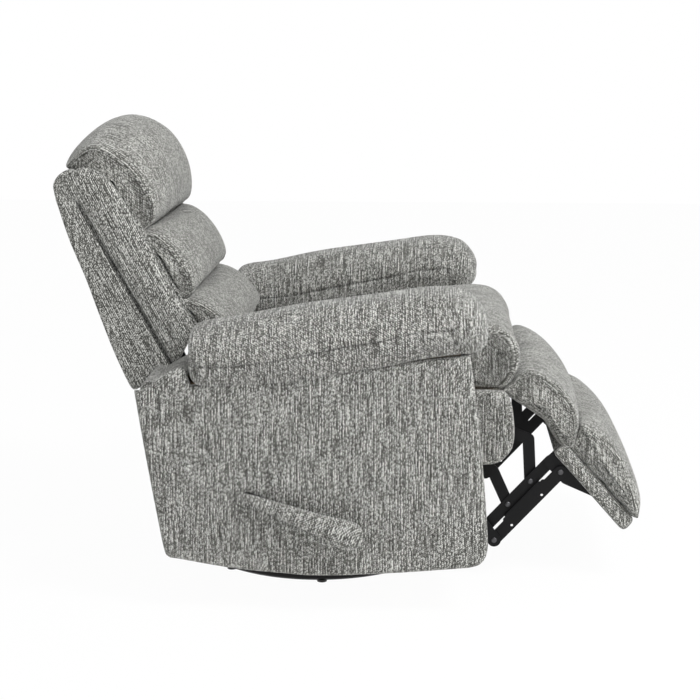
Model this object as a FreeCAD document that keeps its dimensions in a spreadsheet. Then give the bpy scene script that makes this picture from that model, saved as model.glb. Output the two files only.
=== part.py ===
import FreeCAD, Part, Sketcher
import math
import os

# Swivel glider recliner, footrest half open.
# Millimetres, Z up, floor at Z = 0, swivel axis at X = Y = 0, the chair faces -Y.
# Side outlines are written as (forward, up), and forward is -Y.

SIZES = {
    # floor ring and spider
    "ring_radius": 300, "ring_width": 26, "ring_bottom": 5, "ring_height": 20, "ring_corner": 5,
    "foot_radius": 11, "foot_count": 8, "foot_angle": 4.6,
    "spoke_width": 34, "spoke_height": 12, "spoke_count": 4,
    "hub_radius": 92, "hub_top": 55, "hub_thickness": 5,
    # swivel bearing
    "race_radius": 66, "race_width": 16, "plate_thickness": 4, "bearing_height": 13,
    "bearing_gap": 0.4, "bolt_radius": 8, "bolt_head": 14, "bolt_head_height": 6,
    # glider stand and links
    "stand_half": 150, "stand_sheet": 4, "stand_length": 320, "stand_rail": 34,
    "post_width": 38, "glide_reach": 120, "glide_top": 165, "glide_low": 65,
    "glide_bar": 24, "glide_sheet": 4, "layer_gap": 4,
    # pivots
    "pin_radius": 5, "pin_clearance": 0.1, "glide_pin": 6,
    # carriage and cross members
    "cradle_top": 212, "cradle_rail": 28, "cradle_end": 190, "tube_side": 25,
    "rear_member": -172, "front_member": 150,
    # mechanism layers, outward from the middle
    "link_sheet": 3, "link_gap": 1, "plate_outer": 257,
    "link_width": 26, "lift_width": 30, "lower_width": 28,
    "rib_width": 13, "rib_shift": 11.5, "sight_hole": 3, "sight_shift": 6,
    # footrest linkage pivots, forward and up
    "lift_pivot_f": 288, "lift_pivot_u": 242, "lift_knee_f": 93, "lift_knee_u": 129,
    "lift_end_f": 115, "lift_end_u": 152, "reach_f": 142, "reach_u": 158,
    "brace_share": 0.36, "knee_share": 0.7, "brace_bow": 16, "knee_bow": 50,
    "drive_f": -115, "drive_u": 255, "crank_f": -10, "crank_u": 44,
    "drive_radius": 9.5, "drive_clearance": 0.1,
    # side plates
    "plate_rear": -292, "plate_front": 404, "plate_top": 372, "plate_low": 328,
    "recline_f": -260, "recline_u": 390, "recline_lobe": 24, "recline_pin": 7,
    # seat frame and seat
    "frame_half": 285, "frame_top": 427.5, "frame_low": 345, "frame_rear": -225,
    "rail_front": 405, "board": 20, "rail_half": 226, "rail_low": 275, "rail_high": 378,
    "spring_wire": 2.5, "spring_gap": 0.2, "spring_count": 5, "spring_spacing": 92,
    "seat_half": 265, "seat_bottom": 433, "seat_rear": -200, "seat_rear_top": 506,
    "seat_top": 563, "seat_crown": 572, "seat_front": 452, "seat_roll": 34,
    "rail_pad_depth": 27, "rail_pad_top": 431, "rail_pad_low": 272, "rail_pad_bulge": 16, "rail_pad_curve": 205,
    # arms
    "arm_inner": 285, "inner_thickness": 20, "outer_thickness": 23, "arm_outer": 470,
    "panel_bottom": 80, "panel_front_low": 105, "panel_rear_low": 117, "panel_sweep": 1500, "shoulder_curve": 160,
    "panel_front": 380, "panel_front_step": 149, "panel_rear": -293, "panel_rear_top_f": -346,
    "panel_rear_top_u": 470, "front_lean_f": 336, "pad_front_u": 560, "pad_rear_u": 484,
    "pad_rear_f": -236, "pad_shoulder": 523,
    "arm_board": 20, "arm_front_thickness": 18, "arm_rear_inset": 22,
    "pad_inner": 287, "pad_outer": 485, "pad_rear_top": 594,
    "pad_top_f": 285, "pad_top_u": 681, "pad_nose_f": 370, "pad_nose_u": 606,
    "pad_tuck": 40, "pad_early_top": 645,
    "rear_panel_top": 292, "rear_panel_low": 138, "rear_panel_thickness": 14,
    # back
    "back_half": 280, "border_inner": 253.5, "post_outer": 250, "post_thickness": 25,
    "back_low_f": -388, "back_low_u": 432, "back_curve": 2600, "mid_rail_u": 640,
    "back_high_f": -541, "back_high_u": 856, "back_skin": 12, "back_lip": 46, "skin_gap": 0.3,
    "border_top_f": -478, "border_top_u": 910, "border_crown_f": -432, "border_crown_u": 888,
    "plane_high_f": -393, "plane_high_u": 833, "plane_low_f": -247, "plane_low_u": 561,
    "border_foot_f": -305, "border_foot_u": 474, "frame_inset": 9, "back_rail": 60,
    "pillow_half": 250, "pillow_gap": 0.15, "pillow_bulge": 8,
    "strap_count": 5, "strap_width": 42, "strap_thickness": 3,
    # footrest
    "hinge_f": 430, "hinge_u": 400, "rest_f": 530, "rest_u": 290,
    "rest_slope_f": 0.6860, "rest_slope_u": 0.7276,
    "rest_half": 260, "rest_length": 236, "rest_board": 37.5, "rest_pad_top": 105,
    "flange_width": 20, "web_depth": 32, "rest_bracket_length": 132, "rest_tube_radius": 8,
    # chaise pad
    "chaise_half": 258,
    # lever
    "lever_gap": 6, "lever_bar": 8, "lever_tip_f": 88, "lever_tip_u": 184, "lever_width": 20,
    "bulb_radius": 33, "bulb_length": 46, "lever_cover": 32,
}

doc = FreeCAD.newDocument("recliner")
sheet = doc.addObject("Spreadsheet::Sheet", "Sizes")
for row, (alias, number) in enumerate(SIZES.items(), start=1):
    sheet.set("A%d" % row, alias)
    sheet.set("B%d" % row, str(number))
    sheet.setAlias("B%d" % row, alias)
doc.recompute()


class Size:
    """A number that keeps the sheet formula it comes from."""

    def __init__(self, number, formula):
        self.number = float(number)
        self.formula = formula

    def __add__(self, other):
        other = as_size(other)
        return Size(self.number + other.number, "(%s + %s)" % (self.formula, other.formula))

    def __sub__(self, other):
        other = as_size(other)
        return Size(self.number - other.number, "(%s - %s)" % (self.formula, other.formula))

    def __mul__(self, other):
        other = as_size(other)
        return Size(self.number * other.number, "(%s * %s)" % (self.formula, other.formula))

    def __truediv__(self, other):
        other = as_size(other)
        return Size(self.number / other.number, "(%s / %s)" % (self.formula, other.formula))

    def __radd__(self, other):
        return as_size(other) + self

    def __rsub__(self, other):
        return as_size(other) - self

    def __rmul__(self, other):
        return as_size(other) * self

    def __neg__(self):
        return Size(-self.number, "(-1 * %s)" % self.formula)


def as_size(value):
    if isinstance(value, Size):
        return value
    return Size(value, "(%r)" % float(value))


class Sheet:
    """Sizes by name, read from the spreadsheet."""

    def __getattr__(self, alias):
        return Size(sheet.get(alias), "Sizes." + alias)


s = Sheet()
NODES = {}


def bind(thing, name, value):
    thing.setExpression(name, as_size(value).formula)


def new_body(name):
    body = doc.addObject("PartDesign::Body", name)
    body.Label = name
    if hasattr(body, "AllowCompound"):
        body.AllowCompound = True
    NODES[name] = body
    return body


def origin_plane(body, role):
    for plane in body.Origin.OriginFeatures:
        if plane.Role == role:
            return plane
    raise ValueError(role)


def new_sketch(body, plane, offset):
    sketch = body.newObject("Sketcher::SketchObject", body.Name + "_sketch")
    sketch.AttachmentSupport = [(origin_plane(body, plane + "_Plane"), "")]
    sketch.MapMode = "FlatFace"
    bind(sketch, "AttachmentOffset.Base.z", offset)
    return sketch


def hold(sketch, geometry, point, place):
    """Tie one point of the sketch to its two coordinates."""
    for kind, value in (("DistanceX", place[0]), ("DistanceY", place[1])):
        value = as_size(value)
        index = sketch.addConstraint(Sketcher.Constraint(kind, geometry, point, value.number))
        name = "%s%d" % (kind[-1], index)
        sketch.renameConstraint(index, name)
        sketch.setExpression("Constraints." + name, value.formula)


def size_constraint(sketch, kind, geometry, value):
    value = as_size(value)
    index = sketch.addConstraint(Sketcher.Constraint(kind, geometry, value.number))
    name = "%s%d" % (kind, index)
    sketch.renameConstraint(index, name)
    sketch.setExpression("Constraints." + name, value.formula)


def vector(place):
    return FreeCAD.Vector(as_size(place[0]).number, as_size(place[1]).number, 0)


def draw_polygon(sketch, corners):
    """Closed outline; a fourth entry makes the edge to the next corner an arc of that radius.

    A positive radius bulges to the right of the way the outline runs, a negative one to the left.
    """
    count = len(corners)
    edges = []
    for i, corner in enumerate(corners):
        start, end = vector(corner), vector(corners[(i + 1) % count])
        radius = as_size(corner[3]) if len(corner) > 3 else None
        if radius is None:
            edges.append((sketch.addGeometry(Part.LineSegment(start, end), False), 1, 2))
            continue
        turns_left = radius.number > 0
        if not turns_left:
            start, end, radius = end, start, -radius
        chord = end - start
        left = FreeCAD.Vector(-chord.y, chord.x, 0).normalize()
        reach = math.sqrt(radius.number ** 2 - chord.Length ** 2 / 4)
        centre = (start + end) / 2 + left * reach
        circle = Part.Circle(centre, FreeCAD.Vector(0, 0, 1), radius.number)
        arc = Part.ArcOfCircle(circle, circle.parameter(start), circle.parameter(end))
        index = sketch.addGeometry(arc, False)
        edges.append((index, 1, 2) if turns_left else (index, 2, 1))
        size_constraint(sketch, "Radius", index, radius)
    for i, corner in enumerate(corners):
        last, this = edges[i - 1], edges[i]
        sketch.addConstraint(Sketcher.Constraint("Coincident", last[0], last[2], this[0], this[1]))
        hold(sketch, this[0], this[1], corner)
    return sketch


def round_corners(body, sketch, corners):
    """Fillet the edges that a pad leaves at the corners with a third entry."""
    groups = {}
    for corner in corners:
        if len(corner) > 2 and corner[2]:
            radius = as_size(corner[2])
            groups.setdefault(radius.formula, (radius, []))[1].append(vector(corner))
    for radius, places in groups.values():
        doc.recompute()
        normal = sketch.Placement.Rotation.multVec(FreeCAD.Vector(0, 0, 1))
        spots = [sketch.Placement.multVec(place) for place in places]
        names = []
        base = body.Tip
        for number, edge in enumerate(base.Shape.Edges, start=1):
            ends = [v.Point for v in edge.Vertexes]
            if len(ends) != 2 or (ends[1] - ends[0]).cross(normal).Length > 1e-6:
                continue
            if any((ends[0] - spot).cross(normal).Length < 1e-4 for spot in spots):
                names.append("Edge%d" % number)
        fillet = body.newObject("PartDesign::Fillet", body.Name + "_round")
        fillet.Base = (base, names)
        fillet.Radius = radius.number
        bind(fillet, "Radius", radius)
        body.Tip = fillet


def draw_slot(sketch, one, two, width):
    """Bar with round ends about two pivots."""
    a, b = vector(one), vector(two)
    radius = as_size(width) / 2
    along = (b - a).normalize()
    across = FreeCAD.Vector(-along.y, along.x, 0) * radius.number
    far_arc = Part.Arc(b - across, b + along * radius.number, b + across)
    near_arc = Part.Arc(a + across, a - along * radius.number, a - across)
    first = sketch.addGeometry(near_arc, False)
    low = sketch.addGeometry(Part.LineSegment(a - across, b - across), False)
    second = sketch.addGeometry(far_arc, False)
    high = sketch.addGeometry(Part.LineSegment(b + across, a + across), False)
    sketch.addConstraint([
        Sketcher.Constraint("Tangent", first, 2, low, 1),
        Sketcher.Constraint("Tangent", low, 2, second, 1),
        Sketcher.Constraint("Tangent", second, 2, high, 1),
        Sketcher.Constraint("Tangent", high, 2, first, 1),
        Sketcher.Constraint("Equal", first, second),
    ])
    hold(sketch, first, 3, one)
    hold(sketch, second, 3, two)
    size_constraint(sketch, "Radius", first, radius)
    return sketch


def draw_circle(sketch, centre, radius):
    circle = Part.Circle(vector(centre), FreeCAD.Vector(0, 0, 1), as_size(radius).number)
    index = sketch.addGeometry(circle, False)
    hold(sketch, index, 3, centre)
    size_constraint(sketch, "Radius", index, radius)
    return sketch


def pad(body, sketch, length):
    feature = body.newObject("PartDesign::Pad", body.Name + "_pad")
    feature.Profile = sketch
    feature.Length = as_size(length).number
    bind(feature, "Length", length)
    sketch.Visibility = False
    body.Tip = feature
    return feature


def pocket(body, sketch, depth):
    """Cut from the sketch towards the low side of its plane."""
    feature = body.newObject("PartDesign::Pocket", body.Name + "_pocket")
    feature.Profile = sketch
    feature.Length = as_size(depth).number
    bind(feature, "Length", depth)
    body.Tip = feature
    return feature


def polar(body, feature, count):
    """Repeat a feature about the vertical axis."""
    pattern = body.newObject("PartDesign::PolarPattern", body.Name + "_ring")
    pattern.Originals = [feature]
    axis = [a for a in body.Origin.OriginFeatures if a.Role == "Z_Axis"][0]
    pattern.Axis = (axis, [""])
    pattern.Angle = 360
    pattern.Occurrences = int(round(as_size(count).number))
    bind(pattern, "Occurrences", count)
    body.Tip = pattern
    return pattern


def span(side, inner, outer):
    """Low X and width of a piece between two distances from the middle plane."""
    low = as_size(inner) if side > 0 else -as_size(outer)
    return low, as_size(outer) - inner


def flip(corners):
    """Side outline (forward, up) as a sketch on the YZ plane, which mirrors its arcs."""
    return [(-as_size(c[0]),) + tuple(c[1:3]) + tuple(-as_size(r) for r in c[3:]) for c in corners]


def side_piece(body, corners, inner, outer, side):
    low, width = span(side, inner, outer)
    sketch = draw_polygon(new_sketch(body, "YZ", low), flip(corners))
    pad(body, sketch, width)
    round_corners(body, sketch, flip(corners))


def across_piece(body, corners, half):
    sketch = draw_polygon(new_sketch(body, "YZ", -as_size(half)), flip(corners))
    pad(body, sketch, as_size(half) * 2)
    round_corners(body, sketch, flip(corners))


def bar(body, one, two, width, inner, outer, side):
    low, thick = span(side, inner, outer)
    sketch = draw_slot(new_sketch(body, "YZ", low), flip([one])[0], flip([two])[0], width)
    return pad(body, sketch, thick)


def pin(body, place, radius, inner, outer, side):
    low, length = span(side, inner, outer)
    sketch = draw_circle(new_sketch(body, "YZ", low), flip([place])[0], radius)
    return pad(body, sketch, length)


def holes(body, places, radius, inner, outer, side):
    low, depth = span(side, inner, outer)
    sketch = new_sketch(body, "YZ", low + depth)
    for place in places:
        draw_circle(sketch, flip([place])[0], radius)
    return pocket(body, sketch, depth)


def offset(place, forward, up):
    return (as_size(place[0]) + forward, as_size(place[1]) + up)


# Layers of the mechanism, as (inner, outer) distances from the middle plane.
step = s.link_sheet + s.link_gap
plate_layer = (s.plate_outer - s.link_sheet, s.plate_outer)
lift_layer = (plate_layer[0] - step, plate_layer[1] - step)
lower_layer = (lift_layer[0] - step, lift_layer[1] - step)
web_layer = (lower_layer[0] - step, lower_layer[1] - step)
upper_layer = (web_layer[0] - step, web_layer[1] - step)
brace_layer = (upper_layer[0] - step, upper_layer[1] - step)
knee_layer = (brace_layer[0] - step, brace_layer[1] - step)
free_hole = s.pin_radius + s.pin_clearance

# Pivots of the linkage, as (forward, up).
lift_pivot = (s.lift_pivot_f, s.lift_pivot_u)
lift_knee = offset(lift_pivot, s.lift_knee_f, -s.lift_knee_u)
lift_end = offset(lift_pivot, s.lift_end_f, -s.lift_end_u)
upper_far = offset(lift_knee, s.reach_f, s.reach_u)
lower_far = offset(lift_end, s.reach_f, s.reach_u)
brace_top = offset(lift_pivot, s.reach_f * s.brace_share, s.reach_u * s.brace_share)
brace_low = offset(lift_knee, s.reach_f * s.brace_share, s.reach_u * s.brace_share)
knee_top = offset(lift_pivot, s.reach_f * s.knee_share, s.reach_u * s.knee_share)
knee_low = offset(lift_knee, s.reach_f * s.knee_share, s.reach_u * s.knee_share)
drive_pivot = (s.drive_f, s.drive_u)
crank_end = offset(drive_pivot, s.crank_f, s.crank_u)
lift_tail = offset(lift_pivot, s.crank_f, s.crank_u)
recline = (s.recline_f, s.recline_u)


def base_ring():
    body = new_body("base_ring")
    sketch = new_sketch(body, "XZ", 0)
    low, high = s.ring_bottom, s.ring_bottom + s.ring_height
    inner = s.ring_radius - s.ring_width
    cut = s.ring_corner
    draw_polygon(sketch, [
        (inner + cut, low), (s.ring_radius - cut, low), (s.ring_radius, low + cut),
        (s.ring_radius, high - cut), (s.ring_radius - cut, high), (inner + cut, high),
        (inner, high - cut), (inner, low + cut)])
    turn = body.newObject("PartDesign::Revolution", "base_ring_turn")
    turn.Profile = sketch
    turn.ReferenceAxis = (sketch, ["V_Axis"])
    turn.Angle = 360
    body.Tip = turn


def base_feet():
    body = new_body("base_feet")
    sketch = new_sketch(body, "XY", 0)
    draw_circle(sketch, (s.ring_radius - s.ring_width / 2, 0), s.foot_radius)
    foot = pad(body, sketch, s.ring_bottom)
    polar(body, foot, s.foot_count)
    bind(body, "Placement.Rotation.Angle", s.foot_angle)


def base_spider():
    body = new_body("base_spider")
    half = s.spoke_width / 2
    rim = s.ring_radius - s.ring_width
    rim = rim - half * half / (rim * 1.9)
    low = s.ring_bottom + s.ring_height / 4
    under = s.hub_top - s.hub_thickness
    sketch = new_sketch(body, "YZ", -half)
    draw_polygon(sketch, [
        (0, under - s.spoke_height), (s.hub_radius, under - s.spoke_height),
        (rim - s.spoke_width, low), (rim, low), (rim, low + s.spoke_height),
        (rim - s.spoke_width, low + s.spoke_height), (s.hub_radius, under), (0, under)])
    spoke = pad(body, sketch, s.spoke_width)
    polar(body, spoke, s.spoke_count)
    hub = new_sketch(body, "XY", under)
    draw_circle(hub, (0, 0), s.hub_radius)
    pad(body, hub, s.hub_thickness)
    bore = new_sketch(body, "XY", s.hub_top)
    draw_circle(bore, (0, 0), s.bolt_radius + s.pin_clearance)
    pocket(body, bore, s.hub_thickness + s.spoke_height)


def turned(name, corners):
    """Solid of revolution about the swivel axis from (radius, up) corners."""
    body = new_body(name)
    sketch = new_sketch(body, "XZ", 0)
    draw_polygon(sketch, corners)
    turn = body.newObject("PartDesign::Revolution", name + "_turn")
    turn.Profile = sketch
    turn.ReferenceAxis = (sketch, ["V_Axis"])
    turn.Angle = 360
    body.Tip = turn
    return body


race_in = s.race_radius - s.race_width / 2
race_out = s.race_radius + s.race_width / 2
bearing_top = s.hub_top + s.bearing_height
race_mid = s.hub_top + s.bearing_height / 2
bore = s.bolt_radius + s.pin_clearance


def swivel_lower_plate():
    turned("swivel_lower_plate", [
        (bore, s.hub_top), (s.hub_radius, s.hub_top), (s.hub_radius, s.hub_top + s.plate_thickness),
        (race_out, s.hub_top + s.plate_thickness), (race_out, race_mid - s.bearing_gap / 2),
        (race_in, race_mid - s.bearing_gap / 2), (race_in, s.hub_top + s.plate_thickness),
        (bore, s.hub_top + s.plate_thickness)])


def swivel_upper_plate():
    body = turned("swivel_upper_plate", [
        (bore, bearing_top), (s.hub_radius, bearing_top),
        (s.hub_radius, bearing_top - s.plate_thickness),
        (race_out, bearing_top - s.plate_thickness), (race_out, race_mid + s.bearing_gap / 2),
        (race_in, race_mid + s.bearing_gap / 2), (race_in, bearing_top - s.plate_thickness),
        (bore, bearing_top - s.plate_thickness)])
    sketch = new_sketch(body, "XY", bearing_top)
    half, long = s.stand_half, s.stand_length / 2
    draw_polygon(sketch, [(-half, -long), (half, -long), (half, long), (-half, long)])
    pad(body, sketch, s.plate_thickness)
    cut = new_sketch(body, "XY", bearing_top + s.plate_thickness)
    draw_circle(cut, (0, 0), bore)
    pocket(body, cut, s.plate_thickness)


def king_bolt():
    under = s.hub_top - s.hub_thickness - s.spoke_height
    top = bearing_top + s.plate_thickness
    turned("king_bolt", [
        (0, under - s.bolt_head_height), (s.bolt_head, under - s.bolt_head_height),
        (s.bolt_head, under), (s.bolt_radius, under), (s.bolt_radius, top + s.bearing_gap),
        (s.bolt_head, top + s.bearing_gap),
        (s.bolt_head, top + s.bearing_gap + s.bolt_head_height),
        (0, top + s.bearing_gap + s.bolt_head_height)])


stand_outer = s.stand_half
glide_in = stand_outer + s.layer_gap
glide_out = glide_in + s.glide_sheet
cradle_in = glide_out + s.layer_gap
cradle_out = cradle_in + s.stand_sheet
stand_base = bearing_top + s.plate_thickness


def glider_stand(name, side):
    """Upright sheet with two posts that carry the glide links."""
    body = new_body(name)
    long, reach = s.stand_length / 2, s.glide_reach
    low, shelf = stand_base, stand_base + s.stand_rail
    inner, outer = stand_outer - s.stand_sheet, stand_outer
    side_piece(body, [(-long, low), (long, low), (long, shelf, 12), (-long, shelf, 12)],
               inner, outer, side)
    for forward in (reach, -reach):
        bar(body, (forward, s.glide_top), (forward, shelf), s.post_width, inner, outer, side)
        pin(body, (forward, s.glide_top), s.glide_pin, outer, glide_out + 1, side)


def glide_link(name, forward, side):
    body = new_body(name)
    top, low = (forward, s.glide_top), (forward, s.glide_low)
    bar(body, top, low, s.glide_bar, glide_in, glide_out, side)
    holes(body, [top, low], s.glide_pin + s.pin_clearance, glide_in, glide_out, side)


def carriage_rail(name, side):
    """Hanging rail: a bar under the cross members and two hangers on the glide links."""
    body = new_body(name)
    top, low, end = s.cradle_top, s.cradle_top - s.cradle_rail, s.cradle_end
    side_piece(body, [(-end, low, 10), (end, low, 10), (end, top), (-end, top)],
               cradle_in, cradle_out, side)
    for forward in (s.glide_reach, -s.glide_reach):
        bar(body, (forward, s.glide_low), (forward, low), s.glide_bar + 4, cradle_in, cradle_out, side)
        pin(body, (forward, s.glide_low), s.glide_pin, glide_in - 1, cradle_in, side)


def cross_members():
    """Two square tubes that tie the carriage rails to the side plates."""
    body = new_body("cross_members")
    half = s.tube_side / 2
    for forward in (s.rear_member, s.front_member):
        across_piece(body, [
            (forward - half, s.cradle_top), (forward + half, s.cradle_top),
            (forward + half, s.cradle_top + s.tube_side),
            (forward - half, s.cradle_top + s.tube_side)], plate_layer[0])


def side_plate(name, side):
    """Mechanism side plate: a long rail with arms down to every fixed pivot."""
    body = new_body(name)
    low, top = plate_layer
    middle = (s.plate_top + s.plate_low) / 2
    wide = s.plate_top - s.plate_low
    side_piece(body, [
        (s.plate_rear, s.plate_low, 14), (s.plate_front, s.plate_low, 14),
        (s.plate_front, s.plate_top, 14), (s.plate_rear, s.plate_top)], low, top, side)
    for forward in (s.rear_member, s.front_member):
        side_piece(body, [
            (forward - s.tube_side, s.cradle_top - 2, 8), (forward + s.tube_side, s.cradle_top - 2, 8),
            (forward + s.tube_side, middle), (forward - s.tube_side, middle)], low, top, side)
    bar(body, drive_pivot, (s.drive_f, middle), s.link_width * 1.5, low, top, side)
    bar(body, lift_pivot, (s.lift_pivot_f, middle), s.link_width * 1.3, low, top, side)
    bar(body, brace_top, (brace_top[0], middle), s.link_width * 1.3, low, top, side)
    bar(body, knee_top, (s.plate_front - wide, middle), s.link_width * 1.3, low, top, side)
    bar(body, recline, (s.recline_f, middle), s.recline_lobe * 2, low, top, side)
    holes(body, [drive_pivot], s.drive_radius + s.drive_clearance, low, top, side)
    pin(body, lift_pivot, s.pin_radius, lift_layer[0] - 0.5, low, side)
    pin(body, brace_top, s.pin_radius, brace_layer[0] - 0.5, low, side)
    pin(body, knee_top, s.pin_radius, knee_layer[0] - 0.5, low, side)
    pin(body, recline, s.recline_pin, lift_layer[0] - 0.5, low, side)


def lift_links():
    """Long bars from the side plates, with a short tail that the drive link pulls."""
    body = new_body("lift_links")
    for side in (-1, 1):
        bar(body, lift_pivot, lift_end, s.lift_width, lift_layer[0], lift_layer[1], side)
        bar(body, lift_pivot, lift_tail, s.link_width, lift_layer[0], lift_layer[1], side)
        holes(body, [lift_pivot], free_hole, lift_layer[0], lift_layer[1], side)
        pin(body, lift_knee, s.pin_radius, upper_layer[0] - 0.5, lift_layer[0], side)
        pin(body, lift_end, s.pin_radius, lower_layer[0] - 0.5, lift_layer[0], side)
        pin(body, lift_tail, s.pin_radius, lower_layer[0] - 0.5, lift_layer[0], side)


def upper_links():
    """Upper extension bars from the lift links to the footrest brackets."""
    body = new_body("upper_links")
    for side in (-1, 1):
        bar(body, lift_knee, upper_far, s.link_width, upper_layer[0], upper_layer[1], side)
        holes(body, [lift_knee, upper_far], free_hole, upper_layer[0], upper_layer[1], side)
        pin(body, brace_low, s.pin_radius, brace_layer[0] - 0.5, upper_layer[0], side)
        pin(body, knee_low, s.pin_radius, knee_layer[0] - 0.5, upper_layer[0], side)


def lower_links():
    """Lower extension bars, parallel to the upper ones, with a stiffening rib and sight holes."""
    body = new_body("lower_links")
    length = math.hypot((lower_far[0] - lift_end[0]).number, (lower_far[1] - lift_end[1]).number)
    over_f = -(lower_far[1] - lift_end[1]) / length
    over_u = (lower_far[0] - lift_end[0]) / length

    def beside(share, away):
        on = lerp(lift_end, lower_far, share)
        return (on[0] + over_f * away, on[1] + over_u * away)

    for side in (-1, 1):
        bar(body, lift_end, lower_far, s.lower_width, lower_layer[0], lower_layer[1], side)
        bar(body, beside(0.24, s.rib_shift), beside(0.8, s.rib_shift), s.rib_width,
            lower_layer[0], lower_layer[1], side)
        holes(body, [lift_end, lower_far], free_hole, lower_layer[0], lower_layer[1], side)
        holes(body, [beside(0.24, -s.sight_shift), beside(0.69, -s.sight_shift)], s.sight_hole,
              lower_layer[0], lower_layer[1], side)


def bowed_links(name, top, low, bow, layer):
    """Pair of links bent towards the front."""
    body = new_body(name)
    length = math.hypot((low[0] - top[0]).number, (low[1] - top[1]).number)
    elbow = (top[0] + (low[0] - top[0]) / 2 - (low[1] - top[1]) * bow / length,
             top[1] + (low[1] - top[1]) / 2 + (low[0] - top[0]) * bow / length)
    for side in (-1, 1):
        bar(body, top, elbow, s.link_width, layer[0], layer[1], side)
        bar(body, elbow, low, s.link_width, layer[0], layer[1], side)
        holes(body, [top, low], free_hole, layer[0], layer[1], side)


def drive_links():
    """Long bars from the cranks to the tails of the lift links."""
    body = new_body("drive_links")
    for side in (-1, 1):
        bar(body, crank_end, lift_tail, s.link_width - 6, lower_layer[0], lower_layer[1], side)
        holes(body, [crank_end, lift_tail], free_hole, lower_layer[0], lower_layer[1], side)


def drive_tube():
    """Cross tube turned by the lever, with a crank at each side plate."""
    body = new_body("drive_tube")
    reach = s.arm_outer + s.lever_gap
    sketch = draw_circle(new_sketch(body, "YZ", -reach), flip([drive_pivot])[0], s.drive_radius)
    pad(body, sketch, reach + s.plate_outer + 3)
    for side in (-1, 1):
        bar(body, drive_pivot, crank_end, s.link_width, lift_layer[0], lift_layer[1], side)
        pin(body, crank_end, s.pin_radius, lower_layer[0] - 0.5, lift_layer[0], side)


tip = (s.lever_tip_f, s.lever_tip_u)


def lever_handle():
    """Flat bar outside the right-hand panel."""
    body = new_body("lever_handle")
    inner = s.arm_outer + s.lever_gap
    bar(body, drive_pivot, tip, s.lever_width, inner, inner + s.lever_bar, -1)


def lever_grip():
    """Padded grip that covers the outer face of the bar."""
    body = new_body("lever_grip")
    inner = s.arm_outer + s.lever_gap + s.lever_bar
    bar(body, drive_pivot, tip, s.lever_cover, inner, inner + s.lever_bar * 1.5, -1)
    bar(body, (tip[0] - 14, tip[1] + 5), tip, s.bulb_radius * 2, inner, inner + s.lever_bar * 2.4, -1)


def seat_frame():
    """Hardwood frame: two side rails, a rear rail and a notched front rail."""
    body = new_body("seat_frame")
    front_in = s.rail_front - s.board
    for side in (-1, 1):
        side_piece(body, [
            (s.frame_rear, s.frame_low), (front_in, s.frame_low), (front_in, s.frame_top),
            (s.frame_rear, s.frame_top)], s.plate_outer, s.frame_half, side)
    across_piece(body, [
        (s.frame_rear, s.rail_high), (s.frame_rear + s.board, s.rail_high),
        (s.frame_rear + s.board, s.frame_top), (s.frame_rear, s.frame_top)], s.plate_outer)
    half, notch = s.frame_half, s.rail_half
    sketch = new_sketch(body, "XZ", front_in)
    draw_polygon(sketch, [
        (-half, s.rail_high), (-notch, s.rail_high), (-notch, s.rail_low), (notch, s.rail_low),
        (notch, s.rail_high), (half, s.rail_high), (half, s.frame_top), (-half, s.frame_top)])
    pad(body, sketch, s.board)


def seat_springs():
    """Spring wires that run from the rear rail to the front rail."""
    body = new_body("seat_springs")
    height = s.frame_top + s.spring_gap + s.spring_wire
    for index in range(5):
        across = s.spring_spacing * (index - 2)
        sketch = draw_circle(new_sketch(body, "XZ", s.frame_rear + 4), (across, height), s.spring_wire)
        pad(body, sketch, s.rail_front - s.frame_rear - 8)


def seat_cushion():
    body = new_body("seat_cushion")
    across_piece(body, [
        (s.seat_rear, s.seat_bottom, 14), (s.rail_front, s.seat_bottom, 14),
        (s.seat_front, s.seat_bottom + 34, s.seat_roll),
        (s.seat_front, s.seat_crown, s.seat_roll + 12), (s.seat_front - 150, s.seat_crown - 4),
        (s.seat_rear, s.seat_rear_top, 20)], s.seat_half)


def front_rail_pad():
    body = new_body("front_rail_pad")
    rear = s.rail_front + s.skin_gap
    nose = s.rail_front + s.rail_pad_depth
    across_piece(body, [
        (rear, s.rail_pad_low), (nose - s.rail_pad_bulge, s.rail_pad_low, 0, s.rail_pad_curve),
        (nose - s.rail_pad_bulge, s.rail_pad_top), (rear, s.rail_pad_top)], s.rail_half)
    for side in (-1, 1):
        side_piece(body, [
            (rear, s.rail_high + s.skin_gap), (nose - 10, s.rail_high + s.skin_gap),
            (nose - 4, s.rail_high + 22), (nose - s.rail_pad_bulge, s.rail_pad_top),
            (rear, s.rail_pad_top)], s.rail_half, s.frame_half - s.skin_gap, side)


# Outline of the arm in side view.
pad_rear = (s.pad_rear_f, s.pad_rear_u)
pad_front = (s.front_lean_f, s.pad_front_u)


def seam_at(forward):
    """Height of the seam under the arm pad."""
    slope = (s.pad_front_u - s.pad_rear_u) / (s.front_lean_f - s.pad_rear_f)
    return s.pad_rear_u + (forward - s.pad_rear_f) * slope


def front_at(height):
    """Forward place of the arm's front face."""
    low = s.panel_rear_low + 8
    slope = (s.panel_front - 8 - s.front_lean_f) / (s.pad_front_u - low)
    return s.panel_front - 8 - (height - low) * slope


def outer_panel(name, side):
    """Upholstered side panel with a swept rear edge."""
    body = new_body(name)
    inner = s.arm_outer - s.outer_thickness
    side_piece(body, [
        (s.panel_rear, s.panel_rear_low, 0, s.panel_sweep),
        (s.panel_front - 6, s.panel_front_low), (s.panel_front, s.panel_front_step, 60),
        pad_front, pad_rear, (s.pad_rear_f - 8, s.pad_shoulder, 0, s.shoulder_curve),
        (s.panel_rear_top_f, s.panel_rear_top_u)], inner, s.arm_outer, side)
    if side < 0:
        holes(body, [drive_pivot], s.drive_radius + 3, inner, s.arm_outer, side)


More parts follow.
